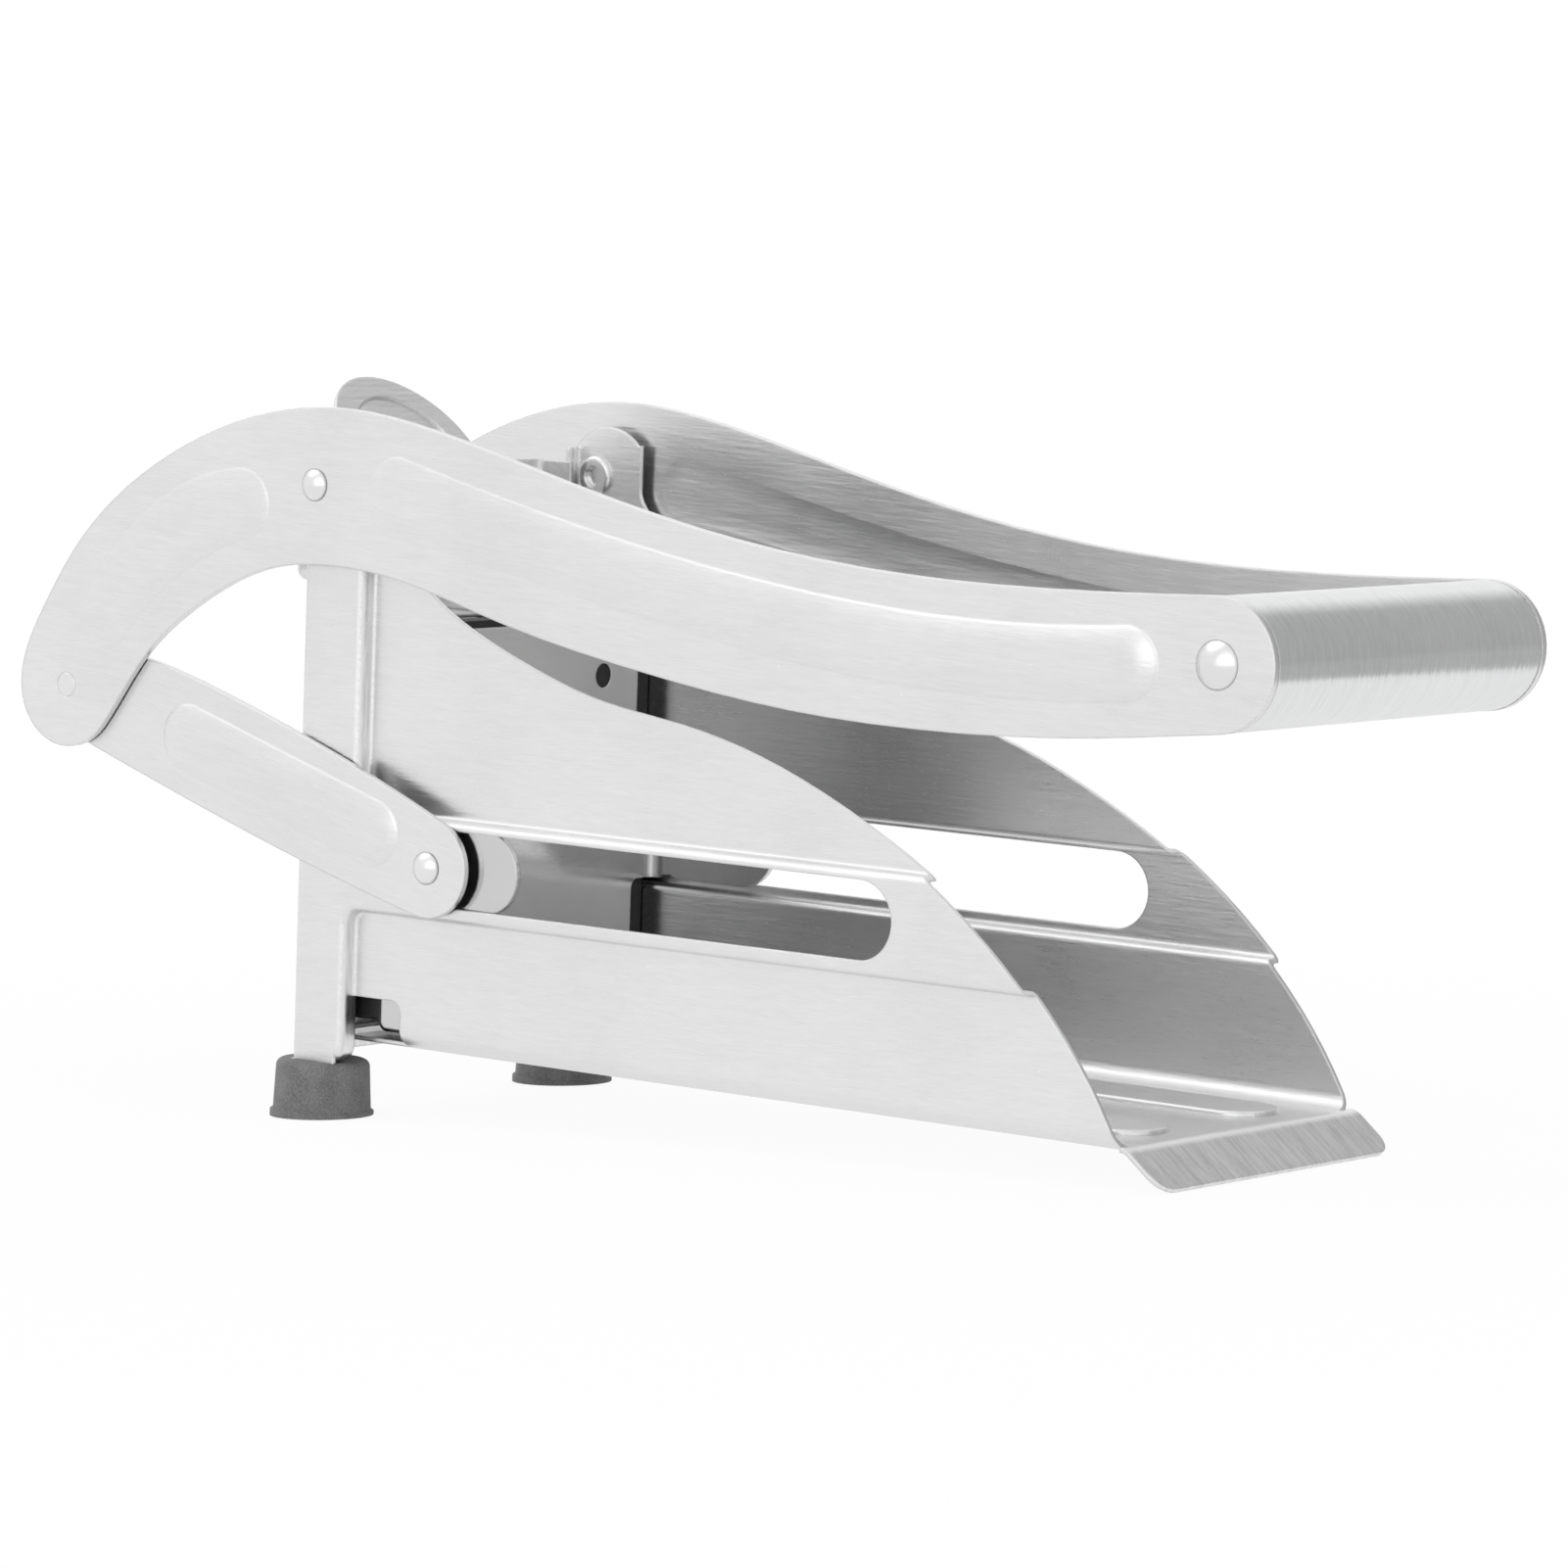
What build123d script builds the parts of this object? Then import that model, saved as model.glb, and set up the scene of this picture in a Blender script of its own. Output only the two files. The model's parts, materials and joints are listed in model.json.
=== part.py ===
from build123d import *
import math
import os

# Lever-driven french fry cutter: an open pressed-steel chute with a blade grid at its back end, and a
# pegged pusher that two lever arms and two links draw along the chute and through the grid.
#
# Design frame, used by every function below: origin on the lever's pivot axis, X along the chute towards
# its open lip, Y across the chute, Z square to the chute floor. Sizes are in millimetres. The left-hand
# half (-Y) is modelled and mirrored. place() at the end stands the finished pieces on the table.

# ---- chute: one pressed sheet --------------------------------------------------------------------
SHEET = 0.9                 # thickness of the chute's steel
HALF_OUT = 43.0             # half width over the outset faces: posts and slot bands
STEP = 3.4                  # how far the wall panels are pressed in from those faces
FLOOR_Z = -111.9            # underside of the floor
FLOOR_BEND = 4.0            # outside radius between wall and floor
FLOOR_BACK = 4.0            # back edge of the floor
FLOOR_HEM = 1.6             # depth of the turned-down back edge
MOUTH_X = 195.6             # where the floor ends and the lip bends down
POST_BACK = -5.5            # back face of the posts
POST_FLANGE = 4.0           # width of the posts' inward back flange
UPPER_STEP_X = 10.5         # front of the post beside the upper panel
LOWER_STEP_X = 8.0          # front of the post beside the lower panel
BAND_ABOVE = 9.5            # outset slot band, above and below the slot's middle
BAND_BELOW = 10.7
SHELF_DROP = 4.3            # floor to the shelf that carries the blade frame, undersides
SHELF_RADIUS = 4.0          # where the lower step turns into the shelf
TRIM = 0.05                 # cut edges stand this far inside a step's outer face
PRESS_RADIUS = 0.8          # inside rounding of the pressed steps
POST_RADIUS = 0.9           # inside rounding of the posts' back corner
EAR_RADIUS = 10.4           # rounded top of the post round the pivot
EAR_X = 3.2
EAR_FRONT = 12.0
EAR_FLARE = -2.2            # where the ear's front edge starts to flare into the wall
EAR_STEP = -8.6             # top of the upper panel's pressed step
SLOT_HEIGHT = 15.4
SLOT_FRONT = 144.2
NOTCH_FRONT = 20.4          # relief cut at the wall's lower back corner
NOTCH_HEIGHT = 9.5
NOTCH_RADIUS = 2.6
TONGUE_FRONT = 6.0          # leg tongue that goes into the foot
TONGUE_LENGTH = 5.8
TONGUE_FIT = 0.05           # tongue to the pocket in the foot
LIP_ANGLE = 38.5            # lip slope below the floor, degrees
LIP_BEND = 4.0              # outside radius between floor and lip
LIP_LENGTH = 9.8            # flat part of the lip
LIP_CORNER = 4.5
LIP_INSET = 0.5             # lip narrower than the panels, each side
BEAD_HEIGHT = 1.0           # floor beads
BEAD_WIDTH = 17.0
BEAD_Y = 18.7
BEAD_BACK = 34.0
BEAD_FRONT = 191.0
# top and front edge of the wall, from the ear's foot down to the mouth
WALL_EDGE = [(14.2, -6.8), (25.4, -20.2), (47.2, -31.3), (68.3, -37.9), (90.5, -41.3),
             (113.7, -47.3), (134.2, -55.9), (150.3, -64.6), (174.6, -83.7), (186.0, -96.5)]

# ---- feet ----------------------------------------------------------------------------------------
FOOT_AHEAD = 4.7            # foot's middle ahead of the posts' back face
FOOT_INSET = 4.8            # and inside their outer face
FOOT_HEIGHT = 11.4
FOOT_TOP_RADIUS = 9.4
FOOT_BASE_RADIUS = 9.9
FOOT_RIM_RADIUS = 10.5
FOOT_RIM = 1.4
FOOT_RIM_EDGE = 1.0         # upright part of the rim
FOOT_ROUND = 1.4

# ---- lever ---------------------------------------------------------------------------------------
LEVER_SHEET = 1.5
LEVER_GAP = 2.1             # post to lever arm
CRANK = (-66.6, -45.1)      # pin that drives the link, from the pivot
CRANK_END_RADIUS = 12.7
GRIP = (217.9, -19.6)       # handle axis, from the pivot
GRIP_END_RADIUS = 12.6
GRIP_TOP_ANGLE = 92.8       # where the lever's edges meet its round ends, degrees
GRIP_UNDER_ANGLE = -84.0
CRANK_UNDER_ANGLE = -40.0
LEVER_BEAD = 1.5            # height of the pressed beads
LEVER_TOP = [(-73.4, -29.3), (-63.4, -14.8), (-40.0, 3.5), (-10.5, 14.2), (5.0, 15.7), (24.0, 13.8),
             (60.0, 5.6), (99.0, -2.8), (150.0, -8.1)]
LEVER_UNDER = [(190.0, -35.2), (150.0, -36.7), (119.6, -35.4), (83.6, -30.8), (46.4, -23.4),
               (26.0, -18.2), (5.0, -15.8), (-12.0, -17.6), (-31.2, -26.5), (-44.4, -37.0)]
LONG_BEAD_TOP = [(22.3, 6.9), (71.6, -4.3), (119.7, -12.0), (165.6, -15.1), (197.8, -13.7)]
LONG_BEAD_UNDER = [(197.8, -28.1), (166.0, -29.4), (119.7, -26.2), (72.0, -18.2), (22.3, -9.7)]
SHORT_BEAD_TOP = [(-60.9, -25.7), (-45.5, -7.9), (-31.0, 0.0), (-19.2, 2.4)]
SHORT_BEAD_UNDER = [(-19.2, -12.2), (-33.5, -19.1), (-49.9, -33.3)]
LONG_BEAD = (LONG_BEAD_TOP, LONG_BEAD_UNDER, (14.0, -1.4), (205.0, -20.9))
SHORT_BEAD = (SHORT_BEAD_TOP, SHORT_BEAD_UNDER, (-59.9, -35.6), (-12.0, -4.9))

# ---- handle --------------------------------------------------------------------------------------
GRIP_DIA = 25.0
GRIP_WALL = 1.0
GRIP_END_GAP = 0.2          # tube end to lever arm
PLUG_LENGTH = 6.0
ROD_DIA = 5.0
GRIP_HEAD_DIA = 9.3

# ---- link ----------------------------------------------------------------------------------------
LINK_SHEET = 1.3
LINK_GAP = 0.3              # link to lever arm
LINK_BEAD = 1.3
SLOT_PIN = (30.5, -74.2)    # pin that carries the link's other end, from the pivot
LINK_BACK_RADIUS = 9.5
LINK_FRONT_RADIUS = 10.0
LINK_TOP_BULGE = 13.4       # farthest the upper edge stands off the pin line
LINK_UNDER_BULGE = 10.9
LINK_BEAD_START = 27.0      # along the pin line
LINK_BEAD_STOP = 92.7
LINK_BEAD_WIDTH = 13.8
LINK_BEAD_OFFSET = 1.4

# ---- pins ----------------------------------------------------------------------------------------
PIN_FIT = 0.05              # running clearance on the radius
PIVOT_DIA = 5.6
PIVOT_BORE = 4.2            # hollow inner end
PIVOT_FLANGE_DIA = 8.4
PIVOT_FLANGE = 1.1
PIVOT_WASHER_DIA = 11.0
CRANK_PIN_DIA = 5.0
SLOT_PIN_DIA = 5.0
SLOT_SHOULDER_DIA = 8.4
PIN_HEAD_DIA = 6.6
HEAD_HEIGHT = 1.4
HEAD_GAP = 0.1              # under a head that turns

# ---- pusher --------------------------------------------------------------------------------------
PUSH_SHEET = 1.2
PUSH_FRONT = 20.0           # front face of the plate, handle down
PUSH_SIDE_GAP = 5.2         # plate to wall panel
PUSH_TOP_GAP = 1.4          # plate below the block's top edge
PUSH_BOTTOM_GAP = 1.1       # plate above the block's lower edge
PUSH_CORNER = 3.0
LUG_GAP = 0.3               # lug below the slot band's upper step
LUG_REACH = 21.0            # lug end past its pin
LUG_BEND = 3.8              # outside radius of the bend from plate to lug
LUG_ROOT = 2.0              # fillet where the lug's edges leave the plate
SIDE_TAB_HEIGHT = 11.0      # tabs bent back round the block's lower corners
SIDE_TAB_DEPTH = 4.4
SIDE_TAB_CORNER = 1.5
SIDE_TAB_BEND = 2.4         # outside radius of the side tabs' bend
GUIDE_GAP = 0.3             # lug to slot band, and blade frame to post
BOSS_INSET = 11.3           # four corner bosses, from the plate's edges
BOSS_DIA = 5.0
BOSS_FIT = 0.1
BLOCK_BASE = 5.0
BLOCK_SIDE_GAP = 0.3        # block and side tabs to wall panel
BLOCK_TAB_FIT = 0.1         # block to the side tabs
BLOCK_OVER = 0.6            # block over the top of the grid's opening
BLOCK_FLOOR_GAP = 0.6       # block over the floor beads
PEG_CLEAR = 0.7             # peg to blade
PEG_PAST = 2.8              # peg tips past the blades' back edges, handle down
PEG_ROUND = 1.2

# ---- blade frame and blades ----------------------------------------------------------------------
FRAME_SHEET = 0.9
COLUMNS = 6
ROWS = 6
COLLAR_GAP = 0.6            # collar round the grid to wall panel
COLLAR_PAST = 0.7           # collar ahead of the blades' ground edges
OPENING_TOP = -27.5
OPENING_LIFT = 2.5          # grid's opening above the floor
BLADE_THICK = 0.6
BLADE_DEPTH = 9.0
BLADE_EDGE = 1.6            # length of the ground bevel
BLADE_FLAT = 0.12           # thickness left at the edge
BLADE_SEAT = 0.2            # blades ahead of the frame's sheet
BLADE_FIT = 0.1             # slot wider than the blade
BLADE_PROUD = 0.5           # blade end past the frame wall
RAIL_TOP = -4.0
RAIL_CORNER = 1.5
TRAY_DEPTH = 8.1            # finger recess behind the frame's upper band
TRAY_SIDE_GAP = 0.4         # recess to the posts' back flanges
TRAY_TOP = 3.0
TRAY_BOTTOM = -20.0
TRAY_CORNER = 2.6
TRAY_HEEL = 2.3             # outside radius of the recess's lower edge
TAB_ANGLE = 45.0            # lean of the thumb tab from upright, degrees
TAB_RADIUS = 18.8
TAB_NECK = 4.0
TAB_DISH_INSET = 5.5
TAB_DISH = 0.5

# ---- sizes that follow ---------------------------------------------------------------------------
HALF_IN = HALF_OUT - STEP
FLOOR_TOP = FLOOR_Z + SHEET
SHELF_Z = FLOOR_Z - SHELF_DROP
SHELF_TOP = SHELF_Z + SHEET
NOTCH_TOP = FLOOR_Z + NOTCH_HEIGHT
TONGUE_BOTTOM = SHELF_Z - TONGUE_LENGTH
FOOT_TOP = SHELF_Z
FOOT_BOTTOM = FOOT_TOP - FOOT_HEIGHT
FOOT_X = POST_BACK + FOOT_AHEAD
FOOT_Y = HALF_OUT - FOOT_INSET
LEVER_IN = HALF_OUT + LEVER_GAP
LEVER_OUT = LEVER_IN + LEVER_SHEET
LINK_OUT = LEVER_IN - LINK_GAP
LINK_IN = LINK_OUT - LINK_SHEET
LUG_OUT = HALF_OUT - SHEET - GUIDE_GAP
LUG_IN = LUG_OUT - PUSH_SHEET
SLOT_Z = SLOT_PIN[1]
BAND_TOP = SLOT_Z + BAND_ABOVE
BAND_BOTTOM = SLOT_Z - BAND_BELOW
LUG_HEIGHT = 2 * (BAND_ABOVE - SHEET - LUG_GAP)
SLOT_BACK = SLOT_PIN[0] - SLOT_HEIGHT / 2
PUSH_BACK = PUSH_FRONT - PUSH_SHEET
BLOCK_FRONT = PUSH_BACK - BLOCK_BASE
PANEL_IN = HALF_IN - SHEET
BLOCK_HALF = PANEL_IN - BLOCK_SIDE_GAP
BLOCK_TOP = OPENING_TOP + BLOCK_OVER
BLOCK_BOTTOM = FLOOR_TOP + BEAD_HEIGHT + BLOCK_FLOOR_GAP
PUSH_HALF_WIDTH = PANEL_IN - PUSH_SIDE_GAP
PUSH_TOP = BLOCK_TOP - PUSH_TOP_GAP
PUSH_BOTTOM = BLOCK_BOTTOM + PUSH_BOTTOM_GAP
OPENING_HALF = PANEL_IN - COLLAR_GAP - FRAME_SHEET
OPENING_BOTTOM = FLOOR_TOP + OPENING_LIFT
FRAME_BACK = POST_BACK + SHEET + GUIDE_GAP
FRAME_FRONT = FRAME_BACK + FRAME_SHEET
BLADE_BACK = FRAME_FRONT + BLADE_SEAT
BLADE_FRONT = BLADE_BACK + BLADE_DEPTH
COLUMN_PITCH = 2 * OPENING_HALF / COLUMNS
ROW_PITCH = (OPENING_TOP - OPENING_BOTTOM) / ROWS
BLADE_YS = [COLUMN_PITCH * (i - COLUMNS / 2) for i in range(1, COLUMNS)]
BLADE_ZS = [OPENING_TOP - ROW_PITCH * i for i in range(1, ROWS)]


# ---- shared construction -------------------------------------------------------------------------
def on_circle(centre, radius, degrees):
    turn = math.radians(degrees)
    return (centre[0] + radius * math.cos(turn), centre[1] + radius * math.sin(turn))


def clockwise(degrees):
    """Heading of a clockwise turn at this angle of a circle."""
    turn = math.radians(degrees)
    return (math.sin(turn), -math.cos(turn))


def side_plate(sketch, outer, thickness):
    """A plate on the left side, drawn in X and Z, its outer face at y = -outer."""
    return extrude(Plane.XZ.offset(outer - thickness) * sketch, amount=thickness)


def mirrored(shape):
    return mirror(shape, about=Plane.XZ)


def cross_pin(at, radius, outer, inner):
    """A round bar along Y on the left side, from y = -outer to y = -inner."""
    return Pos(at[0], -(outer + inner) / 2, at[1]) * Rot(90, 0, 0) * Cylinder(radius, outer - inner)


def domed_head(at, diameter, seat, height, outward=True):
    """A low rivet head on the left side, its flat face at y = -seat."""
    radius = diameter / 2
    sphere = (radius ** 2 + height ** 2) / (2 * height)
    way = 1 if outward else -1
    ball = Pos(at[0], -(seat + way * (height - sphere)), at[1]) * Sphere(sphere)
    return ball & cross_pin(at, radius, *sorted((seat + way * height, seat), reverse=True))


def bead_region(top, under, back_tip, front_tip, inset=0.0):
    """A bead outline: upper and lower runs joined by round ends, drawn in by the inset."""
    loop = [*top, front_tip, *under, back_tip]
    moved = []
    for i, (x, y) in enumerate(loop):
        (ax, ay), (bx, by) = loop[i - 1], loop[(i + 1) % len(loop)]
        run = math.dist((ax, ay), (bx, by)) / inset if inset else math.inf
        moved.append((x + (by - ay) / run, y - (bx - ax) / run))
    split = len(top)
    edges = Spline(*moved[:split]) + Spline(*moved[split + 1:-1])
    edges += ThreePointArc(*moved[split - 1:split + 2])
    edges += ThreePointArc(moved[-2], moved[-1], moved[0])
    return make_face(edges)


def pressed_bead(plate, region, inner_region, outer, thickness, height):
    """Presses a region of a side plate outwards and leaves the sheet's own thickness."""
    raised = side_plate(region, outer + height, height)
    crown = raised.faces().sort_by(Axis.Y)[0].outer_wire().edges()
    raised = fillet(crown, height * 0.7)
    hollow = side_plate(inner_region, outer + height - thickness, height)
    return plate + raised - hollow


# ---- chute ---------------------------------------------------------------------------------------
def ear_foot_z():
    """Height where the ear's round top meets the post's back face."""
    return math.sqrt(EAR_RADIUS ** 2 - (EAR_X - POST_BACK) ** 2)


def wall_outline():
    """One side of the chute down to its shelf, flat: ear, post, wall and relief cut."""
    ear_left = (POST_BACK, ear_foot_z())
    ear_right = on_circle((EAR_X, 0), EAR_RADIUS, 42)
    step, shelf = LOWER_STEP_X - TRIM, SHELF_Z + TRIM
    edges = Polyline((step, shelf), (POST_BACK, shelf), ear_left)
    edges += ThreePointArc(ear_left, (EAR_X, EAR_RADIUS), ear_right)
    edges += Polyline(ear_right, (EAR_FRONT, ear_right[1]), (EAR_FRONT, EAR_FLARE))
    edges += Spline((EAR_FRONT, EAR_FLARE), WALL_EDGE[0], tangents=[(0, -1), (0.6, -0.8)])
    edges += Spline(*WALL_EDGE, (MOUTH_X, FLOOR_Z))
    edges += Polyline((MOUTH_X, FLOOR_Z), (NOTCH_FRONT, FLOOR_Z), (NOTCH_FRONT, NOTCH_TOP),
                      (step, NOTCH_TOP), (step, shelf))
    face = make_face(edges)
    face = fillet([v for v in face.vertices() if abs(v.X - NOTCH_FRONT) < 0.1], NOTCH_RADIUS)
    return fillet([v for v in face.vertices() if abs(v.X - step) + abs(v.Y - shelf) < 0.01],
                  SHELF_RADIUS - TRIM)


def outset_region(inset=0.0):
    """The part of the side that stays out in the posts' plane. It overruns every free edge."""
    back, front, top = POST_BACK - 20, MOUTH_X + 20, EAR_RADIUS + 20
    upper = UPPER_STEP_X - inset
    lower = LOWER_STEP_X - inset
    face = make_face(Polyline(
        (back, top), (EAR_FRONT + 8, top), (EAR_FRONT + 8, EAR_STEP + inset), (upper, EAR_STEP + inset),
        (upper, BAND_TOP - inset), (front, BAND_TOP - inset), (front, BAND_BOTTOM + inset),
        (lower, BAND_BOTTOM + inset), (lower, SHELF_Z + inset), (back, SHELF_Z + inset), (back, top)))
    corners = {(upper, BAND_TOP - inset): 8.0 - inset, (lower, BAND_BOTTOM + inset): 3.0 - inset,
               (lower, SHELF_Z + inset): SHELF_RADIUS - inset, (upper, EAR_STEP + inset): 2.6 - inset}
    for (x, y), radius in corners.items():
        point = [v for v in face.vertices() if abs(v.X - x) + abs(v.Y - y) < 0.01]
        inside = y in (BAND_TOP - inset, BAND_BOTTOM + inset, EAR_STEP + inset)
        face = fillet(point, radius + (2 * inset if inside else 0))
    return face


def face_at(body, y):
    """The widest flat face of a side piece at the given Y."""
    return [f for f in body.faces().filter_by(Axis.Y).sort_by(SortBy.AREA) if abs(f.center().Y - y) < 0.01][-1]


def pressed_side():
    """The untrimmed side sheet: the panels' plane, with posts and slot band pressed outwards."""
    sheet = Pos(MOUTH_X / 2, FLOOR_Z / 2) * Rectangle(1.5 * MOUTH_X, 2 * -FLOOR_Z)
    raised = side_plate(outset_region(), HALF_OUT, STEP + SHEET)
    raised = fillet(face_at(raised, -HALF_OUT).outer_wire().edges(), PRESS_RADIUS + SHEET)
    hollow = side_plate(outset_region(SHEET), HALF_OUT - SHEET, STEP + SHEET)
    hollow = fillet(face_at(hollow, SHEET - HALF_OUT).outer_wire().edges(), PRESS_RADIUS)
    body = side_plate(sheet, HALF_IN, SHEET) + raised
    body = fillet(face_at(body, -HALF_IN).inner_wires()[0].edges(), PRESS_RADIUS)
    body -= hollow
    return fillet(face_at(body, SHEET - HALF_IN).inner_wires()[0].edges(), PRESS_RADIUS + SHEET / 2)


def chute_side():
    outline = wall_outline()
    side = pressed_side() & side_plate(outline, HALF_OUT, HALF_OUT)
    corner = Pos(NOTCH_FRONT + MOUTH_X, -HALF_IN, FLOOR_Z) * Box(
        2 * MOUTH_X, 2 * FLOOR_BEND, 2 * FLOOR_BEND)
    tall = 10 * FLOOR_BEND
    bend = RectangleRounded(2 * HALF_IN, tall, FLOOR_BEND) - RectangleRounded(
        2 * (HALF_IN - SHEET), tall - 2 * SHEET, FLOOR_BEND - SHEET)
    bend = extrude(Plane.YZ.offset(NOTCH_FRONT) * Pos(0, FLOOR_Z + tall / 2) * bend, amount=MOUTH_X - NOTCH_FRONT)
    bend = bend & corner & side_plate(outline, HALF_OUT, HALF_OUT)
    tongue_top = SHELF_Z + FLOOR_BEND
    tongue = Pos((POST_BACK + TONGUE_FRONT) / 2, (TONGUE_BOTTOM + tongue_top) / 2) * Rectangle(
        TONGUE_FRONT - POST_BACK, tongue_top - TONGUE_BOTTOM)
    return side - corner + bend + side_plate(tongue, HALF_OUT, SHEET) - post_back(solid=True) + post_back()


def post_back(solid=False):
    """The post's back corner with its inward flange, or the block it is bent from."""
    reach = POST_BACK + 3 * SHEET
    inner = POST_FLANGE - HALF_OUT
    angle = make_face(Polyline(
        (POST_BACK, inner), (POST_BACK, -HALF_OUT), (reach, -HALF_OUT), (reach, SHEET - HALF_OUT),
        (POST_BACK + SHEET, SHEET - HALF_OUT), (POST_BACK + SHEET, inner), (POST_BACK, inner)))
    for x, y, radius in ((POST_BACK, -HALF_OUT, POST_RADIUS + SHEET),
                         (POST_BACK + SHEET, SHEET - HALF_OUT, POST_RADIUS)):
        angle = fillet([v for v in angle.vertices() if abs(v.X - x) + abs(v.Y - y) < 0.01], radius)
    if solid:
        angle = Pos((POST_BACK + reach) / 2, inner / 2 - HALF_OUT / 2) * Rectangle(
            reach - POST_BACK, POST_FLANGE)
    return extrude(Plane.XY.offset(SHELF_Z) * angle, amount=ear_foot_z() - SHELF_Z)


def floor_bead(y, width, height, top, clearance=0.0):
    slot = Pos((BEAD_BACK + BEAD_FRONT) / 2, y) * SlotOverall(
        BEAD_FRONT - BEAD_BACK - 2 * clearance, width - 2 * clearance)
    return extrude(Plane.XY.offset(top - height) * slot, amount=height)


def lip_point(depth, along):
    """A point of the lip, in X and Z: so deep under its upper face, so far past its bend."""
    slope = math.radians(LIP_ANGLE)
    turn = LIP_BEND - depth
    return (MOUTH_X + turn * math.sin(slope) + along * math.cos(slope),
            FLOOR_TOP - LIP_BEND + turn * math.cos(slope) - along * math.sin(slope))


def lip():
    """The floor's front edge, bent down in a soft curve, with rounded outer corners."""
    half = HALF_IN - LIP_INSET
    centre = (MOUTH_X, FLOOR_TOP - LIP_BEND)
    edges = ThreePointArc((MOUTH_X, FLOOR_TOP), on_circle(centre, LIP_BEND, 90 - LIP_ANGLE / 2), lip_point(0, 0))
    edges += Polyline(lip_point(0, 0), lip_point(0, LIP_LENGTH), lip_point(SHEET, LIP_LENGTH), lip_point(SHEET, 0))
    edges += ThreePointArc(lip_point(SHEET, 0), on_circle(centre, LIP_BEND - SHEET, 90 - LIP_ANGLE / 2),
                           (MOUTH_X, FLOOR_Z))
    edges += Line((MOUTH_X, FLOOR_Z), (MOUTH_X, FLOOR_TOP))
    strip = extrude(Plane.XZ.offset(-half) * make_face(edges), amount=2 * half)
    reach = LIP_LENGTH + 2 * LIP_BEND
    tip = lip_point(0, LIP_LENGTH - reach)
    plan = extrude(RectangleRounded(2 * reach, 2 * half, LIP_CORNER), amount=2 * LIP_BEND, both=True)
    return strip & Pos(tip[0], 0, tip[1]) * Rot(0, LIP_ANGLE, 0) * plan


def chute_body():
    side = chute_side()
    flat = HALF_IN - FLOOR_BEND
    floor = Pos((FLOOR_BACK + MOUTH_X) / 2, 0, FLOOR_Z + SHEET / 2) * Box(
        MOUTH_X - FLOOR_BACK, 2 * flat, SHEET)
    hem = Pos(FLOOR_BACK + SHEET / 2, 0, FLOOR_TOP - (SHEET + FLOOR_HEM) / 2) * Box(
        SHEET, 2 * flat, SHEET + FLOOR_HEM)
    body = side + mirrored(side) + floor + hem + lip()
    for y in (-BEAD_Y, BEAD_Y):
        raised = floor_bead(y, BEAD_WIDTH, BEAD_HEIGHT, FLOOR_TOP + BEAD_HEIGHT)
        raised = fillet(raised.faces().sort_by(Axis.Z)[-1].outer_wire().edges(), BEAD_HEIGHT * 0.8)
        hollow = floor_bead(y, BEAD_WIDTH, BEAD_HEIGHT, FLOOR_Z + BEAD_HEIGHT, SHEET)
        body = body + raised - hollow
    slot_length = SLOT_FRONT - SLOT_BACK
    slot = Pos((SLOT_BACK + SLOT_FRONT) / 2, SLOT_Z) * SlotOverall(slot_length, SLOT_HEIGHT)
    slot = side_plate(slot, HALF_OUT + 1, SHEET + 2)
    hole = cross_pin((0, 0), PIVOT_DIA / 2, HALF_OUT + 1, HALF_OUT - SHEET - 1)
    return body - slot - mirrored(slot) - hole - mirrored(hole)


# ---- feet ----------------------------------------------------------------------------------------
def lean_degrees():
    """How far the floor dips towards its lip when the chute stands on both feet and the lip."""
    edge = lip_point(SHEET, LIP_LENGTH)
    return math.degrees(math.atan2(edge[1] - FOOT_BOTTOM, edge[0] - FOOT_X))


def foot():
    deep = FOOT_BOTTOM - FOOT_RIM
    rim_top = FOOT_BOTTOM + FOOT_RIM
    profile = make_face(Polyline((0, deep), (FOOT_RIM_RADIUS, deep), (FOOT_RIM_RADIUS, FOOT_BOTTOM + FOOT_RIM_EDGE),
                                 (FOOT_BASE_RADIUS, rim_top), (FOOT_TOP_RADIUS, FOOT_TOP), (0, FOOT_TOP),
                                 (0, deep)))
    shoulder = [v for v in profile.vertices() if v.X > 1 and v.Y > FOOT_TOP - 0.1]
    profile = fillet(shoulder, FOOT_ROUND)
    body = revolve(Plane.XZ * profile, Axis.Z)
    body = Pos(FOOT_X, -FOOT_Y, 0) * body
    under = Pos(0, 0, -FOOT_HEIGHT) * Box(6 * FOOT_RIM_RADIUS, 6 * FOOT_RIM_RADIUS, 2 * FOOT_HEIGHT)
    table = Pos(FOOT_X, -FOOT_Y, FOOT_BOTTOM) * Rot(0, -lean_degrees(), 0) * under
    pocket = Pos((POST_BACK + TONGUE_FRONT) / 2, -(HALF_OUT - SHEET / 2), (TONGUE_BOTTOM + FOOT_TOP) / 2)
    pocket *= Box(TONGUE_FRONT - POST_BACK + 2 * TONGUE_FIT, SHEET + 2 * TONGUE_FIT,
                  TONGUE_LENGTH + 2 * TONGUE_FIT)
    return body - table - pocket


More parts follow.
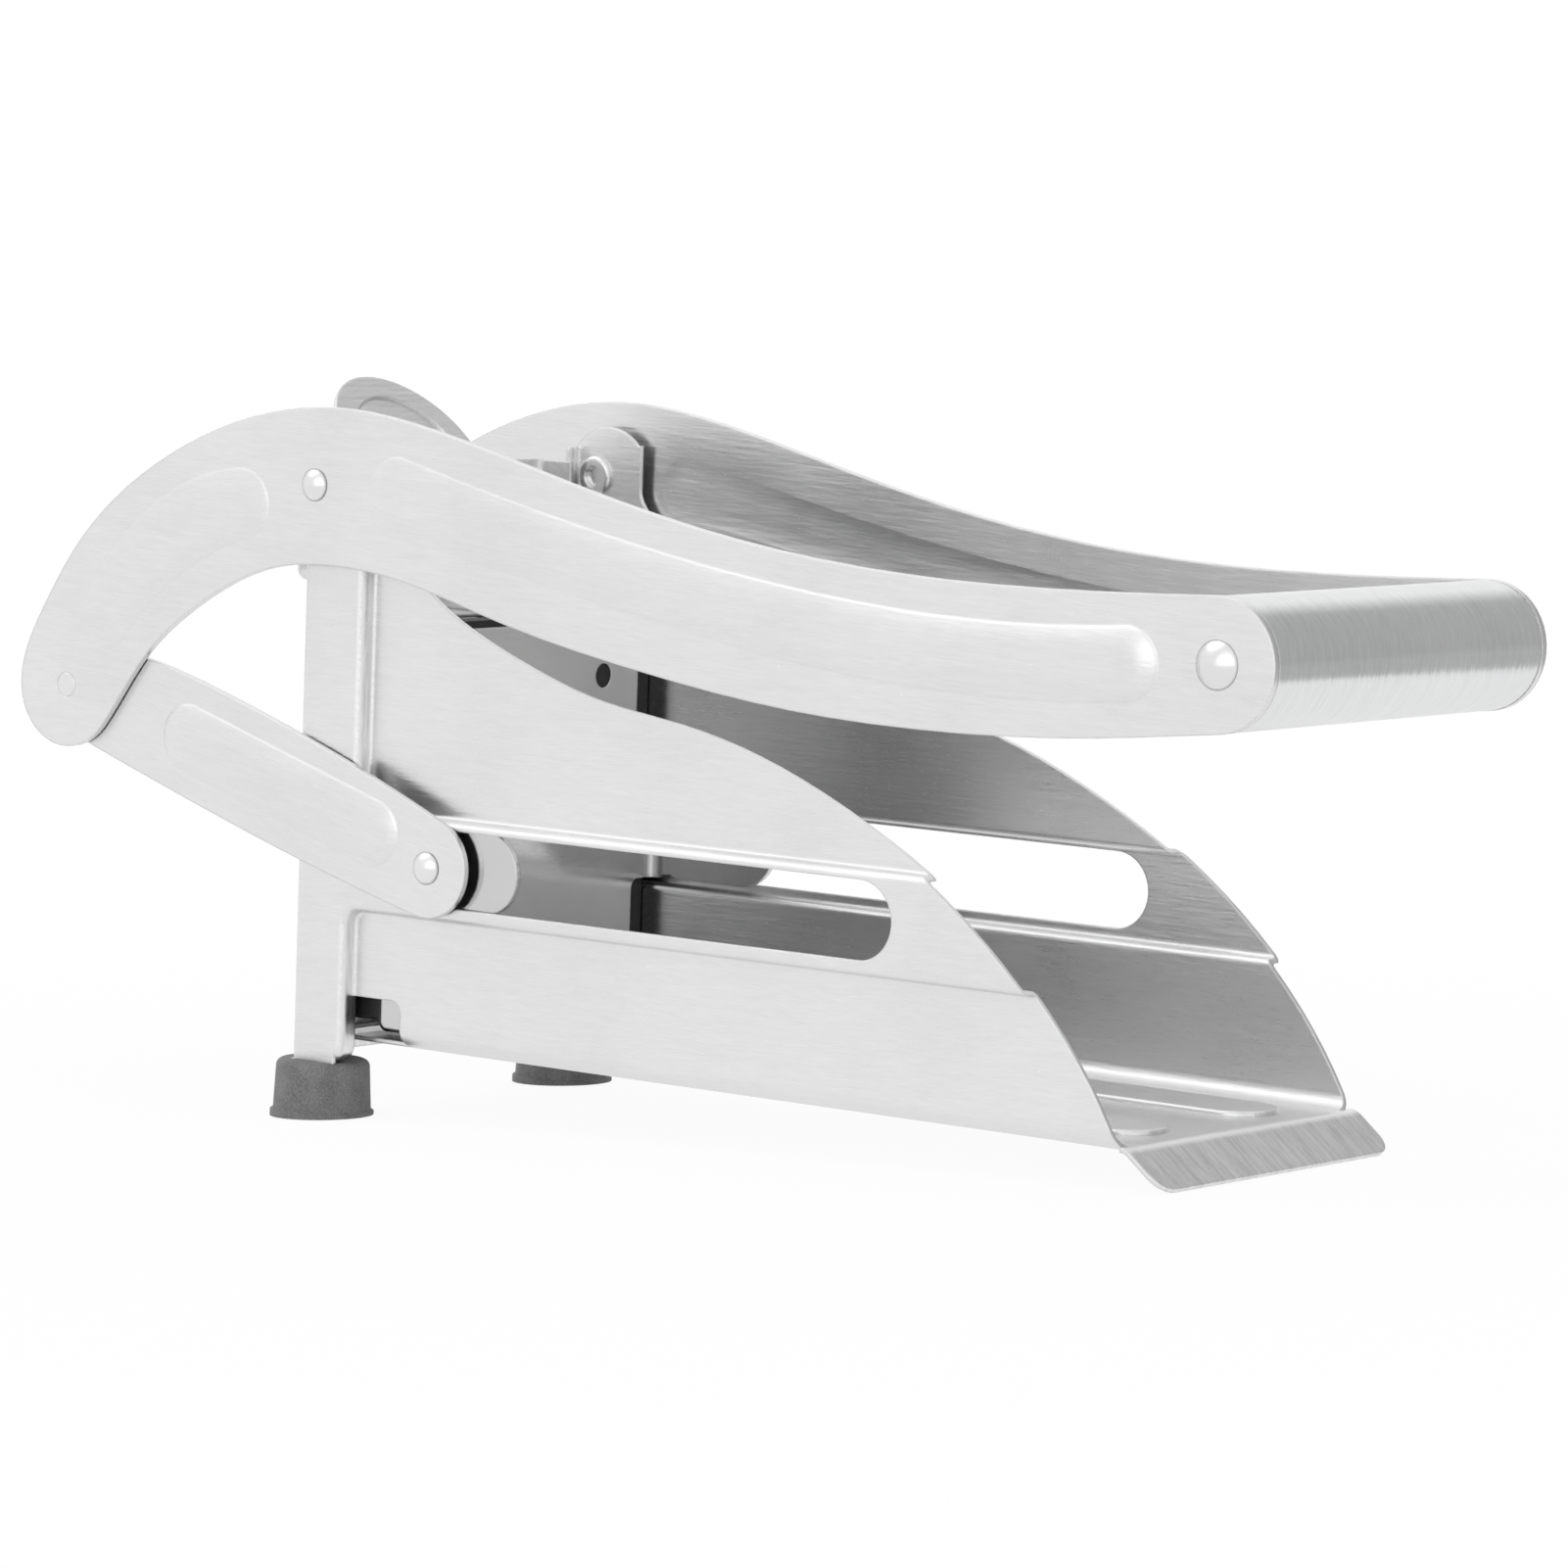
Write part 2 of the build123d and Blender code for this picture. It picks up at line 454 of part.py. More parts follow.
# ---- lever ---------------------------------------------------------------------------------------
def lever_arm():
    tail = on_circle(CRANK, CRANK_END_RADIUS, 180)
    under_tail = on_circle(CRANK, CRANK_END_RADIUS, CRANK_UNDER_ANGLE)
    tip_top = on_circle(GRIP, GRIP_END_RADIUS, GRIP_TOP_ANGLE)
    tip_under = on_circle(GRIP, GRIP_END_RADIUS, GRIP_UNDER_ANGLE)
    edges = Spline(tail, *LEVER_TOP, tip_top, tangents=[clockwise(180), clockwise(GRIP_TOP_ANGLE)],
                   tangent_scalars=(1, 1))
    edges += ThreePointArc(tip_top, on_circle(GRIP, GRIP_END_RADIUS, 0), tip_under)
    edges += Spline(tip_under, *LEVER_UNDER, under_tail,
                    tangents=[clockwise(GRIP_UNDER_ANGLE), clockwise(CRANK_UNDER_ANGLE)],
                    tangent_scalars=(1, 1))
    edges += ThreePointArc(under_tail, on_circle(CRANK, CRANK_END_RADIUS, CRANK_UNDER_ANGLE / 2 - 90), tail)
    plate = side_plate(make_face(edges), LEVER_OUT, LEVER_SHEET)
    for bead in (LONG_BEAD, SHORT_BEAD):
        inner = bead_region(*bead, inset=LEVER_SHEET)
        plate = pressed_bead(plate, bead_region(*bead), inner, LEVER_OUT, LEVER_SHEET, LEVER_BEAD)
    for at, radius in (((0, 0), PIVOT_DIA / 2 + PIN_FIT), (CRANK, CRANK_PIN_DIA / 2), (GRIP, ROD_DIA / 2)):
        plate -= cross_pin(at, radius, LEVER_OUT + 1, LEVER_IN - 1)
    return plate


def handle_tube():
    half = LEVER_IN - GRIP_END_GAP
    tube = cross_pin(GRIP, GRIP_DIA / 2, half, -half)
    return tube - cross_pin(GRIP, GRIP_DIA / 2 - GRIP_WALL, half + 1, -half - 1)


def handle_plug():
    half = LEVER_IN - GRIP_END_GAP
    plug = cross_pin(GRIP, GRIP_DIA / 2 - GRIP_WALL, half, half - PLUG_LENGTH)
    return plug - cross_pin(GRIP, ROD_DIA / 2, half + 1, half - PLUG_LENGTH - 1)


def handle_rod():
    rod = cross_pin(GRIP, ROD_DIA / 2, LEVER_OUT, -LEVER_OUT)
    head = domed_head(GRIP, GRIP_HEAD_DIA, LEVER_OUT, HEAD_HEIGHT * 1.3)
    return rod + head + mirrored(head)


# ---- link ----------------------------------------------------------------------------------------
def link():
    length = math.dist(CRANK, SLOT_PIN)
    slope = math.degrees(math.atan2(SLOT_PIN[1] - CRANK[1], SLOT_PIN[0] - CRANK[0]))
    back_top, back_under = (0, LINK_BACK_RADIUS), (0, -LINK_BACK_RADIUS)
    front_top = on_circle((length, 0), LINK_FRONT_RADIUS, 80)
    front_under = on_circle((length, 0), LINK_FRONT_RADIUS, -86)
    edges = Spline(back_top, (0.18 * length, LINK_TOP_BULGE - 0.8), (0.42 * length, LINK_TOP_BULGE),
                   (0.8 * length, LINK_TOP_BULGE - 1.4), front_top)
    edges += ThreePointArc(front_top, (length + LINK_FRONT_RADIUS, 0), front_under)
    edges += Spline(front_under, (0.66 * length, -LINK_UNDER_BULGE), (0.24 * length, 0.6 - LINK_UNDER_BULGE),
                    back_under)
    edges += ThreePointArc(back_under, (-LINK_BACK_RADIUS, 0), back_top)
    turned = Pos(*CRANK) * Rot(0, 0, slope)
    plate = side_plate(turned * make_face(edges), LINK_OUT, LINK_SHEET)
    bead = Pos((LINK_BEAD_START + LINK_BEAD_STOP) / 2, LINK_BEAD_OFFSET) * SlotOverall(
        LINK_BEAD_STOP - LINK_BEAD_START, LINK_BEAD_WIDTH)
    inner = offset(bead, -LINK_SHEET)
    plate = pressed_bead(plate, turned * bead, turned * inner, LINK_OUT, LINK_SHEET, LINK_BEAD)
    plate -= cross_pin(SLOT_PIN, SLOT_PIN_DIA / 2 + PIN_FIT, LINK_OUT + 1, LINK_IN - 1)
    return plate - cross_pin(CRANK, CRANK_PIN_DIA / 2, LINK_OUT + 1, LINK_IN - 1)


# ---- pins ----------------------------------------------------------------------------------------
def pivot_rivet():
    inner = HALF_OUT - SHEET
    rivet = cross_pin((0, 0), PIVOT_DIA / 2, LEVER_OUT + HEAD_GAP, inner - PIVOT_FLANGE)
    rivet += domed_head((0, 0), PIN_HEAD_DIA, LEVER_OUT + HEAD_GAP, HEAD_HEIGHT)
    flange = cross_pin((0, 0), PIVOT_FLANGE_DIA / 2, inner, inner - PIVOT_FLANGE)
    flange = fillet(flange.edges().sort_by(Axis.Y)[-1], PIVOT_FLANGE * 0.6)
    return rivet + flange - cross_pin((0, 0), PIVOT_BORE / 2, inner, inner - 2 * PIVOT_FLANGE)


def pivot_washer():
    ring = cross_pin((0, 0), PIVOT_WASHER_DIA / 2, LEVER_IN - HEAD_GAP, HALF_OUT)
    return ring - cross_pin((0, 0), PIVOT_DIA / 2, LEVER_IN + 1, HALF_OUT - 1)


def crank_rivet():
    """Outer half of the crank rivet. It ends flush with the lever's inner face."""
    return cross_pin(CRANK, CRANK_PIN_DIA / 2, LEVER_OUT, LEVER_IN) + domed_head(
        CRANK, PIN_HEAD_DIA, LEVER_OUT, HEAD_HEIGHT)


def crank_rivet_tail():
    """Inner half of the crank rivet, set flush in the link."""
    return cross_pin(CRANK, CRANK_PIN_DIA / 2, LINK_OUT, LINK_IN)


def slot_rivet():
    """Shoulder rivet: held in the lug, shoulder through the slot, link free under its head."""
    seat = LINK_OUT + HEAD_GAP
    rivet = cross_pin(SLOT_PIN, SLOT_PIN_DIA / 2, seat, LUG_IN)
    rivet += cross_pin(SLOT_PIN, SLOT_SHOULDER_DIA / 2, LINK_IN - HEAD_GAP, LUG_OUT)
    rivet += domed_head(SLOT_PIN, PIN_HEAD_DIA, seat, HEAD_HEIGHT)
    return rivet + domed_head(SLOT_PIN, PIN_HEAD_DIA, LUG_IN, HEAD_HEIGHT, outward=False)


# ---- pusher --------------------------------------------------------------------------------------
def boss_places():
    z_top, z_bottom = PUSH_TOP - BOSS_INSET, PUSH_BOTTOM + BOSS_INSET
    y = PUSH_HALF_WIDTH - BOSS_INSET
    return [(-y, z_top), (y, z_top), (-y, z_bottom), (y, z_bottom)]


def side_tab():
    """Left lower corner of the plate, carried out to the wall panel and bent back round the block."""
    inner, tab_back = BLOCK_HALF - PUSH_SHEET, PUSH_BACK - SIDE_TAB_DEPTH
    root = PUSH_HALF_WIDTH - BOSS_INSET / 2
    section = make_face(Polyline((PUSH_FRONT, -root), (PUSH_FRONT, -BLOCK_HALF), (tab_back, -BLOCK_HALF),
                                 (tab_back, -inner), (PUSH_BACK, -inner), (PUSH_BACK, -root),
                                 (PUSH_FRONT, -root)))
    for x, y, radius in ((PUSH_FRONT, -BLOCK_HALF, SIDE_TAB_BEND), (PUSH_BACK, -inner, SIDE_TAB_BEND - PUSH_SHEET)):
        bend = [v for v in section.vertices() if abs(v.X - x) + abs(v.Y - y) < 0.01]
        section = fillet(bend, radius)
    tab = extrude(Plane.XY.offset(PUSH_BOTTOM) * section, amount=SIDE_TAB_HEIGHT)
    corners = tab.edges().filter_by(Axis.Y).group_by(Axis.X)[0]
    return fillet(corners, SIDE_TAB_CORNER)


def pusher_plate():
    height = PUSH_TOP - PUSH_BOTTOM
    plate = Pos(0, (PUSH_TOP + PUSH_BOTTOM) / 2) * RectangleRounded(2 * PUSH_HALF_WIDTH, height, PUSH_CORNER)
    plate = extrude(Plane.YZ.offset(PUSH_BACK) * plate, amount=PUSH_SHEET)
    lug_end = SLOT_PIN[0] + LUG_REACH
    root = PUSH_HALF_WIDTH - BOSS_INSET / 2
    section = make_face(Polyline((PUSH_FRONT, -root), (PUSH_FRONT, -LUG_IN), (lug_end, -LUG_IN),
                                 (lug_end, -LUG_OUT), (PUSH_BACK, -LUG_OUT), (PUSH_BACK, -root),
                                 (PUSH_FRONT, -root)))
    for x, y, radius in ((PUSH_BACK, -LUG_OUT, LUG_BEND), (PUSH_FRONT, -LUG_IN, LUG_BEND - PUSH_SHEET)):
        bend = [v for v in section.vertices() if abs(v.X - x) + abs(v.Y - y) < 0.01]
        section = fillet(bend, radius)
    lug = extrude(Plane.XY.offset(SLOT_Z - LUG_HEIGHT / 2) * section, amount=LUG_HEIGHT)
    rounded = Pos(lug_end - 2 * LUG_REACH, SLOT_Z) * SlotOverall(4 * LUG_REACH, LUG_HEIGHT)
    lug &= side_plate(rounded, HALF_OUT, HALF_OUT)
    lug -= cross_pin(SLOT_PIN, SLOT_PIN_DIA / 2, LUG_OUT + 1, LUG_IN - 1)
    tab = side_tab()
    plate = plate + lug + mirrored(lug) + tab + mirrored(tab)
    roots = [e for e in plate.edges().filter_by(Axis.X)
             if abs(abs(e.center().Y) - PUSH_HALF_WIDTH) < 0.01 and abs(e.center().Z - SLOT_Z) < LUG_HEIGHT]
    plate = fillet(roots, LUG_ROOT)
    for y, z in boss_places():
        plate -= Pos(PUSH_FRONT, y, z) * Rot(0, 90, 0) * Cylinder(BOSS_DIA / 2, 4 * PUSH_SHEET)
    return plate


def pusher_block():
    height = BLOCK_TOP - BLOCK_BOTTOM
    base = Pos(0, (BLOCK_TOP + BLOCK_BOTTOM) / 2) * RectangleRounded(2 * BLOCK_HALF, height, PUSH_CORNER)
    block = extrude(Plane.YZ.offset(BLOCK_FRONT) * base, amount=BLOCK_BASE)
    ledge, side = SIDE_TAB_DEPTH + BLOCK_TAB_FIT, BLOCK_HALF - SIDE_TAB_BEND - BLOCK_TAB_FIT
    for y in (-BLOCK_HALF - side, BLOCK_HALF + side):
        block -= Pos(PUSH_BACK - ledge / 2, y, PUSH_BOTTOM + BLOCK_TAB_FIT) * Box(
            ledge, 2 * BLOCK_HALF, 2 * SIDE_TAB_HEIGHT)
    tip = BLADE_BACK - PEG_PAST
    peg_y = COLUMN_PITCH - BLADE_THICK - 2 * PEG_CLEAR
    peg_z = ROW_PITCH - BLADE_THICK - 2 * PEG_CLEAR
    peg = extrude(Plane.YZ.offset(tip) * RectangleRounded(peg_y, peg_z, PEG_ROUND), amount=BLOCK_FRONT - tip)
    peg = chamfer(peg.faces().sort_by(Axis.X)[0].outer_wire().edges(), 0.6)
    pegs = []
    for column in range(COLUMNS):
        for row in range(ROWS):
            y = COLUMN_PITCH * (column + 0.5) - OPENING_HALF
            z = OPENING_TOP - ROW_PITCH * (row + 0.5)
            pegs.append(Pos(0, y, z) * peg)
    block = block + pegs
    for y, z in boss_places():
        boss = Cylinder(BOSS_DIA / 2 - BOSS_FIT, PUSH_SHEET * 0.75)
        block += Pos(PUSH_BACK + PUSH_SHEET * 0.375, y, z) * Rot(0, 90, 0) * boss
    return block


# ---- blade frame and blades ----------------------------------------------------------------------
def blade_frame():
    wall = FRAME_SHEET
    rail_half = HALF_OUT - SHEET - GUIDE_GAP
    tray_half = HALF_OUT - POST_FLANGE - TRAY_SIDE_GAP
    opening = Pos(0, (OPENING_TOP + OPENING_BOTTOM) / 2) * Rectangle(
        2 * OPENING_HALF, OPENING_TOP - OPENING_BOTTOM)
    sill = Pos(0, (RAIL_TOP + SHELF_TOP) / 2) * RectangleRounded(2 * rail_half, RAIL_TOP - SHELF_TOP, RAIL_CORNER)
    mouth = Pos(0, RAIL_TOP) * Rectangle(2 * tray_half, 2 * (RAIL_TOP - TRAY_BOTTOM))
    frame = extrude(Plane.YZ.offset(FRAME_BACK) * (sill - opening - mouth), amount=wall)
    collar = Pos(0, (OPENING_TOP + OPENING_BOTTOM) / 2) * Rectangle(
        2 * (OPENING_HALF + wall), OPENING_TOP - OPENING_BOTTOM + 2 * wall) - opening
    frame += extrude(Plane.YZ.offset(FRAME_BACK) * collar, amount=BLADE_FRONT + COLLAR_PAST - FRAME_BACK)
    tray_back = FRAME_FRONT - TRAY_DEPTH - wall
    shell = Pos((tray_back + FRAME_FRONT) / 2, 0, (TRAY_TOP + TRAY_BOTTOM) / 2) * Box(
        FRAME_FRONT - tray_back, 2 * tray_half, TRAY_TOP - TRAY_BOTTOM)
    inside = shell.edges().filter_by(Axis.Z).group_by(Axis.X)[0]
    shell = fillet(inside, TRAY_CORNER)
    shell = fillet(shell.faces().sort_by(Axis.Z)[0].edges().group_by(Axis.X)[0], TRAY_HEEL)
    high = TRAY_TOP - TRAY_BOTTOM
    hollow = Pos(tray_back + wall + TRAY_DEPTH, 0, TRAY_BOTTOM + wall + high) * Box(
        2 * TRAY_DEPTH, 2 * (tray_half - wall), 2 * high)
    hollow = fillet(hollow.edges().filter_by(Axis.Z).group_by(Axis.X)[0], TRAY_CORNER - wall)
    hollow = fillet(hollow.faces().sort_by(Axis.Z)[0].edges().group_by(Axis.X)[0], TRAY_HEEL - wall)
    frame = frame + (shell - hollow) + thumb_tab(tray_back, wall)
    depth = BLADE_DEPTH + BLADE_FIT
    slots = []
    for y in BLADE_YS:
        slots.append(Pos((BLADE_BACK + BLADE_FRONT) / 2, y, (OPENING_TOP + OPENING_BOTTOM) / 2) * Box(
            depth, BLADE_THICK + BLADE_FIT, OPENING_TOP - OPENING_BOTTOM + 4 * wall))
    for z in BLADE_ZS:
        slots.append(Pos((BLADE_BACK + BLADE_FRONT) / 2, 0, z) * Box(
            depth, 2 * OPENING_HALF + 4 * wall, BLADE_THICK + BLADE_FIT))
    return frame - slots


def thumb_tab(tray_back, wall):
    """Half-round tab, dished, leaning back from the top of the tray."""
    above = Pos(0, TAB_NECK + 2 * TAB_RADIUS) * Rectangle(4 * TAB_RADIUS, 4 * TAB_RADIUS)
    face = Pos(0, TAB_NECK) * Circle(TAB_RADIUS) & above
    face += Pos(0, TAB_NECK / 2) * Rectangle(2 * TAB_RADIUS, TAB_NECK)
    dish = Pos(0, TAB_NECK) * Circle(TAB_RADIUS - TAB_DISH_INSET) & above
    tab = extrude(face, amount=wall) + extrude(dish, amount=-TAB_DISH)
    tab -= extrude(Plane.XY.offset(wall - TAB_DISH) * dish, amount=TAB_DISH)
    root = Plane(origin=(tray_back, 0, TRAY_TOP), x_dir=(0, 1, 0),
                 z_dir=(math.cos(math.radians(TAB_ANGLE)), 0, math.sin(math.radians(TAB_ANGLE))))
    bend = Pos(tray_back + wall / 2, 0, TRAY_TOP) * Rot(90, 0, 0) * Cylinder(wall / 2, 2 * TAB_RADIUS)
    return root * tab + bend


def blade(length, crossings, slots_in_front):
    """One blade along Z, centred: ground on its front edge, half-slotted where others cross."""
    half = BLADE_THICK / 2
    tip = BLADE_FLAT / 2
    section = make_face(Polyline((BLADE_BACK, -half), (BLADE_FRONT - BLADE_EDGE, -half), (BLADE_FRONT, -tip),
                                 (BLADE_FRONT, tip), (BLADE_FRONT - BLADE_EDGE, half), (BLADE_BACK, half),
                                 (BLADE_BACK, -half)))
    strip = extrude(Plane.XY.offset(-length / 2) * section, amount=length)
    middle = (BLADE_BACK + BLADE_FRONT) / 2
    reach = BLADE_DEPTH / 2 + BLADE_FIT / 2
    centre = middle + reach / 2 if slots_in_front else middle - reach / 2
    for at in crossings:
        strip -= Pos(centre, 0, at) * Box(reach + BLADE_FIT, BLADE_DEPTH, BLADE_THICK + BLADE_FIT)
    return strip


def vertical_blade(y):
    middle = (OPENING_TOP + OPENING_BOTTOM) / 2
    length = OPENING_TOP - OPENING_BOTTOM + 2 * (FRAME_SHEET + BLADE_PROUD)
    strip = blade(length, [z - middle for z in BLADE_ZS], slots_in_front=True)
    return Pos(0, y, middle) * strip


def horizontal_blade(z):
    length = 2 * (OPENING_HALF + FRAME_SHEET + BLADE_PROUD)
    strip = blade(length, BLADE_YS, slots_in_front=False)
    return Pos(0, 0, z) * Rot(-90, 0, 0) * strip


# ---- the assembly --------------------------------------------------------------------------------
def pair(shape):
    return Compound(children=[*shape.solids(), *mirrored(shape).solids()])


def assemble():
    arm, bar, toe = lever_arm(), link(), foot()
    parts = {
        "chute_body": chute_body(),
        "foot_left": toe,
        "foot_right": mirrored(toe),
        "blade_frame": blade_frame(),
        "pivot_rivets": pair(pivot_rivet()),
        "pivot_washers": pair(pivot_washer()),
        "lever_arm_left": arm,
        "lever_arm_right": mirrored(arm),
        "handle_tube": handle_tube(),
        "handle_plugs": pair(handle_plug()),
        "handle_rod": handle_rod(),
        "crank_rivets": pair(crank_rivet()),
        "link_left": bar,
        "link_right": mirrored(bar),
        "crank_rivet_tails": pair(crank_rivet_tail()),
        "pusher_plate": pusher_plate(),
        "pusher_block": pusher_block(),
        "slot_rivets": pair(slot_rivet()),
    }
    for number, y in enumerate(BLADE_YS, 1):
        parts[f"vertical_blade_{number}"] = vertical_blade(y)
    for number, z in enumerate(BLADE_ZS, 1):
        parts[f"horizontal_blade_{number}"] = horizontal_blade(z)
    return parts


def standing(parts):
    """Where the design frame goes when the whole stands on the table, centred over the origin."""
    tip = Rot(0, lean_degrees(), 0)
    boxes = [(tip * shape).bounding_box() for shape in parts.values()]
    low_x, high_x = min(b.min.X for b in boxes), max(b.max.X for b in boxes)
    low_y, high_y = min(b.min.Y for b in boxes), max(b.max.Y for b in boxes)
    return Pos(-(low_x + high_x) / 2, -(low_y + high_y) / 2, -min(b.min.Z for b in boxes)) * tip


os.makedirs("parts", exist_ok=True)
pieces = assemble()
stance = standing(pieces)
for name, shape in pieces.items():
    export_step(stance * shape, f"parts/{name}.step")
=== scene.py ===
import json
import math

import bpy
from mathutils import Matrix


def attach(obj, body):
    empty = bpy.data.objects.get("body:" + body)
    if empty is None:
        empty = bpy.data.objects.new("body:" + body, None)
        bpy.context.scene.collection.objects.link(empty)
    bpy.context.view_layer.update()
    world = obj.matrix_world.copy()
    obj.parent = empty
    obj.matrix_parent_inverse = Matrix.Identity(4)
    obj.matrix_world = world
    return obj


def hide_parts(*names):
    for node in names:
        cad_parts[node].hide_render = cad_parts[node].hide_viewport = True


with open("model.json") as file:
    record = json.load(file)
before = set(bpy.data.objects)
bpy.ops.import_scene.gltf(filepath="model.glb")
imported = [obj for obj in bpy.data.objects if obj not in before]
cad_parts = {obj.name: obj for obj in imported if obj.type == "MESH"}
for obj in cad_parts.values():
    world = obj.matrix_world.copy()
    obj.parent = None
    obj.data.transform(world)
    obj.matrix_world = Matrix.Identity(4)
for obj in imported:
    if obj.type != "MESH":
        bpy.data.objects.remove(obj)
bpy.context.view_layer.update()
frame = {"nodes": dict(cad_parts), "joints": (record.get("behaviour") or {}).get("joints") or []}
nodes = frame["nodes"]
joints = {joint["name"]: joint for joint in frame["joints"]}
bpy.ops.object.select_all(action="DESELECT")


# ---- chute -------------------------------------------------------------------------------------------
# One sheet of stainless steel, blanked, pressed and bent into a trough with two posts. The sheet was
# brushed along its length before pressing, so fine streaks run along its walls and down its floor and
# lip, and they are strongest on the lip.
SHEET_STEEL = (0.79, 0.79, 0.79)
SHEET_ROUGHNESS = 0.30
SHEET_STREAKS = (250.0, 4600.0)         # to the metre, along the brushing and across it
LEAN = math.radians(2.48)               # the trough dips this much towards its lip
LIP_WEAR = 0.45                         # how strongly the lip's streaks swing from dark to light
LIP_SLOPES = (0.45, 0.6)                # share of the normal along X, from which faces count as the lip
WALL_FACES = (0.55, 0.75)               # share of the normal along Y, from which faces count as walls
OFF_AXIS = (0.02, 0.06)                 # keeps the brushing's direction from being square to any face

BROAD_ALONG, BROAD_ACROSS = 0.3, 0.16   # how many broad streaks there are for each fine one
FINE_TONE = (-0.045, 0.035)             # how far each pattern darkens and lightens the steel
BROAD_TONE = (-0.018, 0.015)
SMUDGE_TONE = (-0.06, 0.03)
# painted glint: how far the nicks lighten the steel's colour
NICK_PAINTED_GLINT = 0.3
FINE_ROUGHNESS = (-0.04, 0.05)          # how far each pattern polishes and dulls it
SMUDGE_ROUGHNESS = (-0.03, 0.05)
STREAK_SPREAD = (0.3, 0.7)              # the range in which most of a noise lies
SMUDGE_SPREAD = (0.35, 0.65)

SMUDGES, NICKS, NICK_PATCHES = 30.0, 210.0, 95.0        # to the metre
NICK_RIM = (0.02, 0.06)                 # from a nick's middle to its rim, as shares of their spacing
NICKED = (0.66, 0.69)                   # where the patches' noise is above this, the nicks show
GROOVE_DEPTH = 0.00014                  # of a broad streak
FINE_GROOVES, NICK_DENTS = 0.05, 0.08   # how deep these are, as shares of it
BUMP_STRENGTH = 0.6
EDGE_RADIUS = 0.0006                    # cut edges and bends catch the light over this width


def add(tree, kind, **values):
    """A shader node with its inputs and properties set."""
    node = tree.nodes.new(kind)
    for name, value in values.items():
        if name in node.inputs:
            node.inputs[name].default_value = value
        else:
            setattr(node, name, value)
    return node


def link(tree, start, end):
    tree.links.new(start, end)


def ramp(tree, source, low, high, start, end):
    """Maps source from start..end onto low..high, held at both ends."""
    node = add(tree, "ShaderNodeMapRange")
    link(tree, source, node.inputs["Value"])
    for name, value in (("From Min", start), ("From Max", end), ("To Min", low), ("To Max", high)):
        node.inputs[name].default_value = value
    return node.outputs["Result"]


def vary(tree, source, middle, swing, amount, spread):
    """Lets a noise carry a value to both sides of its middle, by a swing times an amount."""
    low, high = (middle + share * amount for share in swing)
    return ramp(tree, source, low, high, *spread)


def maths(tree, operation, a, b):
    """One sum on two numbers or sockets."""
    node = add(tree, "ShaderNodeMath", operation=operation)
    for socket, value in zip(node.inputs, (a, b)):
        if isinstance(value, (int, float)):
            socket.default_value = value
        else:
            link(tree, value, socket)
    return node.outputs[0]


def noise(tree, vector, scale, detail, rugged=0.5):
    """A cloudy pattern over a vector."""
    node = add(tree, "ShaderNodeTexNoise", Scale=scale, Detail=detail, Roughness=rugged)
    link(tree, vector, node.inputs["Vector"])
    return node.outputs["Fac"]


def normal(tree):
    """The way the surface faces."""
    return add(tree, "ShaderNodeNewGeometry").outputs["Normal"]


def faces_along(tree, axis):
    """How squarely the surface faces along an axis, either way, from 0 to 1."""
    split = add(tree, "ShaderNodeSeparateXYZ")
    link(tree, normal(tree), split.inputs[0])
    return maths(tree, "ABSOLUTE", split.outputs[axis], 0.0)


def stretched(tree, place, tilt, counts):
    """The place turned about Y, with so many cells of a noise to the metre each way."""
    node = add(tree, "ShaderNodeMapping", vector_type="TEXTURE", Rotation=(0.0, tilt, 0.0),
               Scale=[1.0 / count for count in counts])
    link(tree, place, node.inputs["Vector"])
    return node.outputs["Vector"]


def streaks(tree, place, tilt, along, across, axis, detail):
    """Noise drawn out along one axis, or round the Y axis, as a brushing belt leaves it."""
    around = (along, across, along)
    if axis == "around":
        vector = stretched(tree, place, tilt, around)
    else:
        vector = stretched(tree, place, tilt, [along if name == axis else across for name in "XYZ"])
    if axis == "X":                     # off the walls, the streaks follow the sheet down its slopes
        mix = add(tree, "ShaderNodeMix", data_type="VECTOR")
        link(tree, ramp(tree, faces_along(tree, "Y"), 0.0, 1.0, *WALL_FACES), mix.inputs["Factor"])
        link(tree, stretched(tree, place, 0.0, around), mix.inputs["A"])
        link(tree, vector, mix.inputs["B"])
        vector = mix.outputs["Result"]
    return noise(tree, vector, 1.0, detail, rugged=0.65)


def new_material(name, **values):
    """A material with one Principled shader that has these values."""
    material = bpy.data.materials.new(name)
    material.use_nodes = True
    tree = material.node_tree
    tree.nodes.clear()
    shader = add(tree, "ShaderNodeBsdfPrincipled", **values)
    link(tree, shader.outputs[0], add(tree, "ShaderNodeOutputMaterial").inputs["Surface"])
    return material, tree, shader


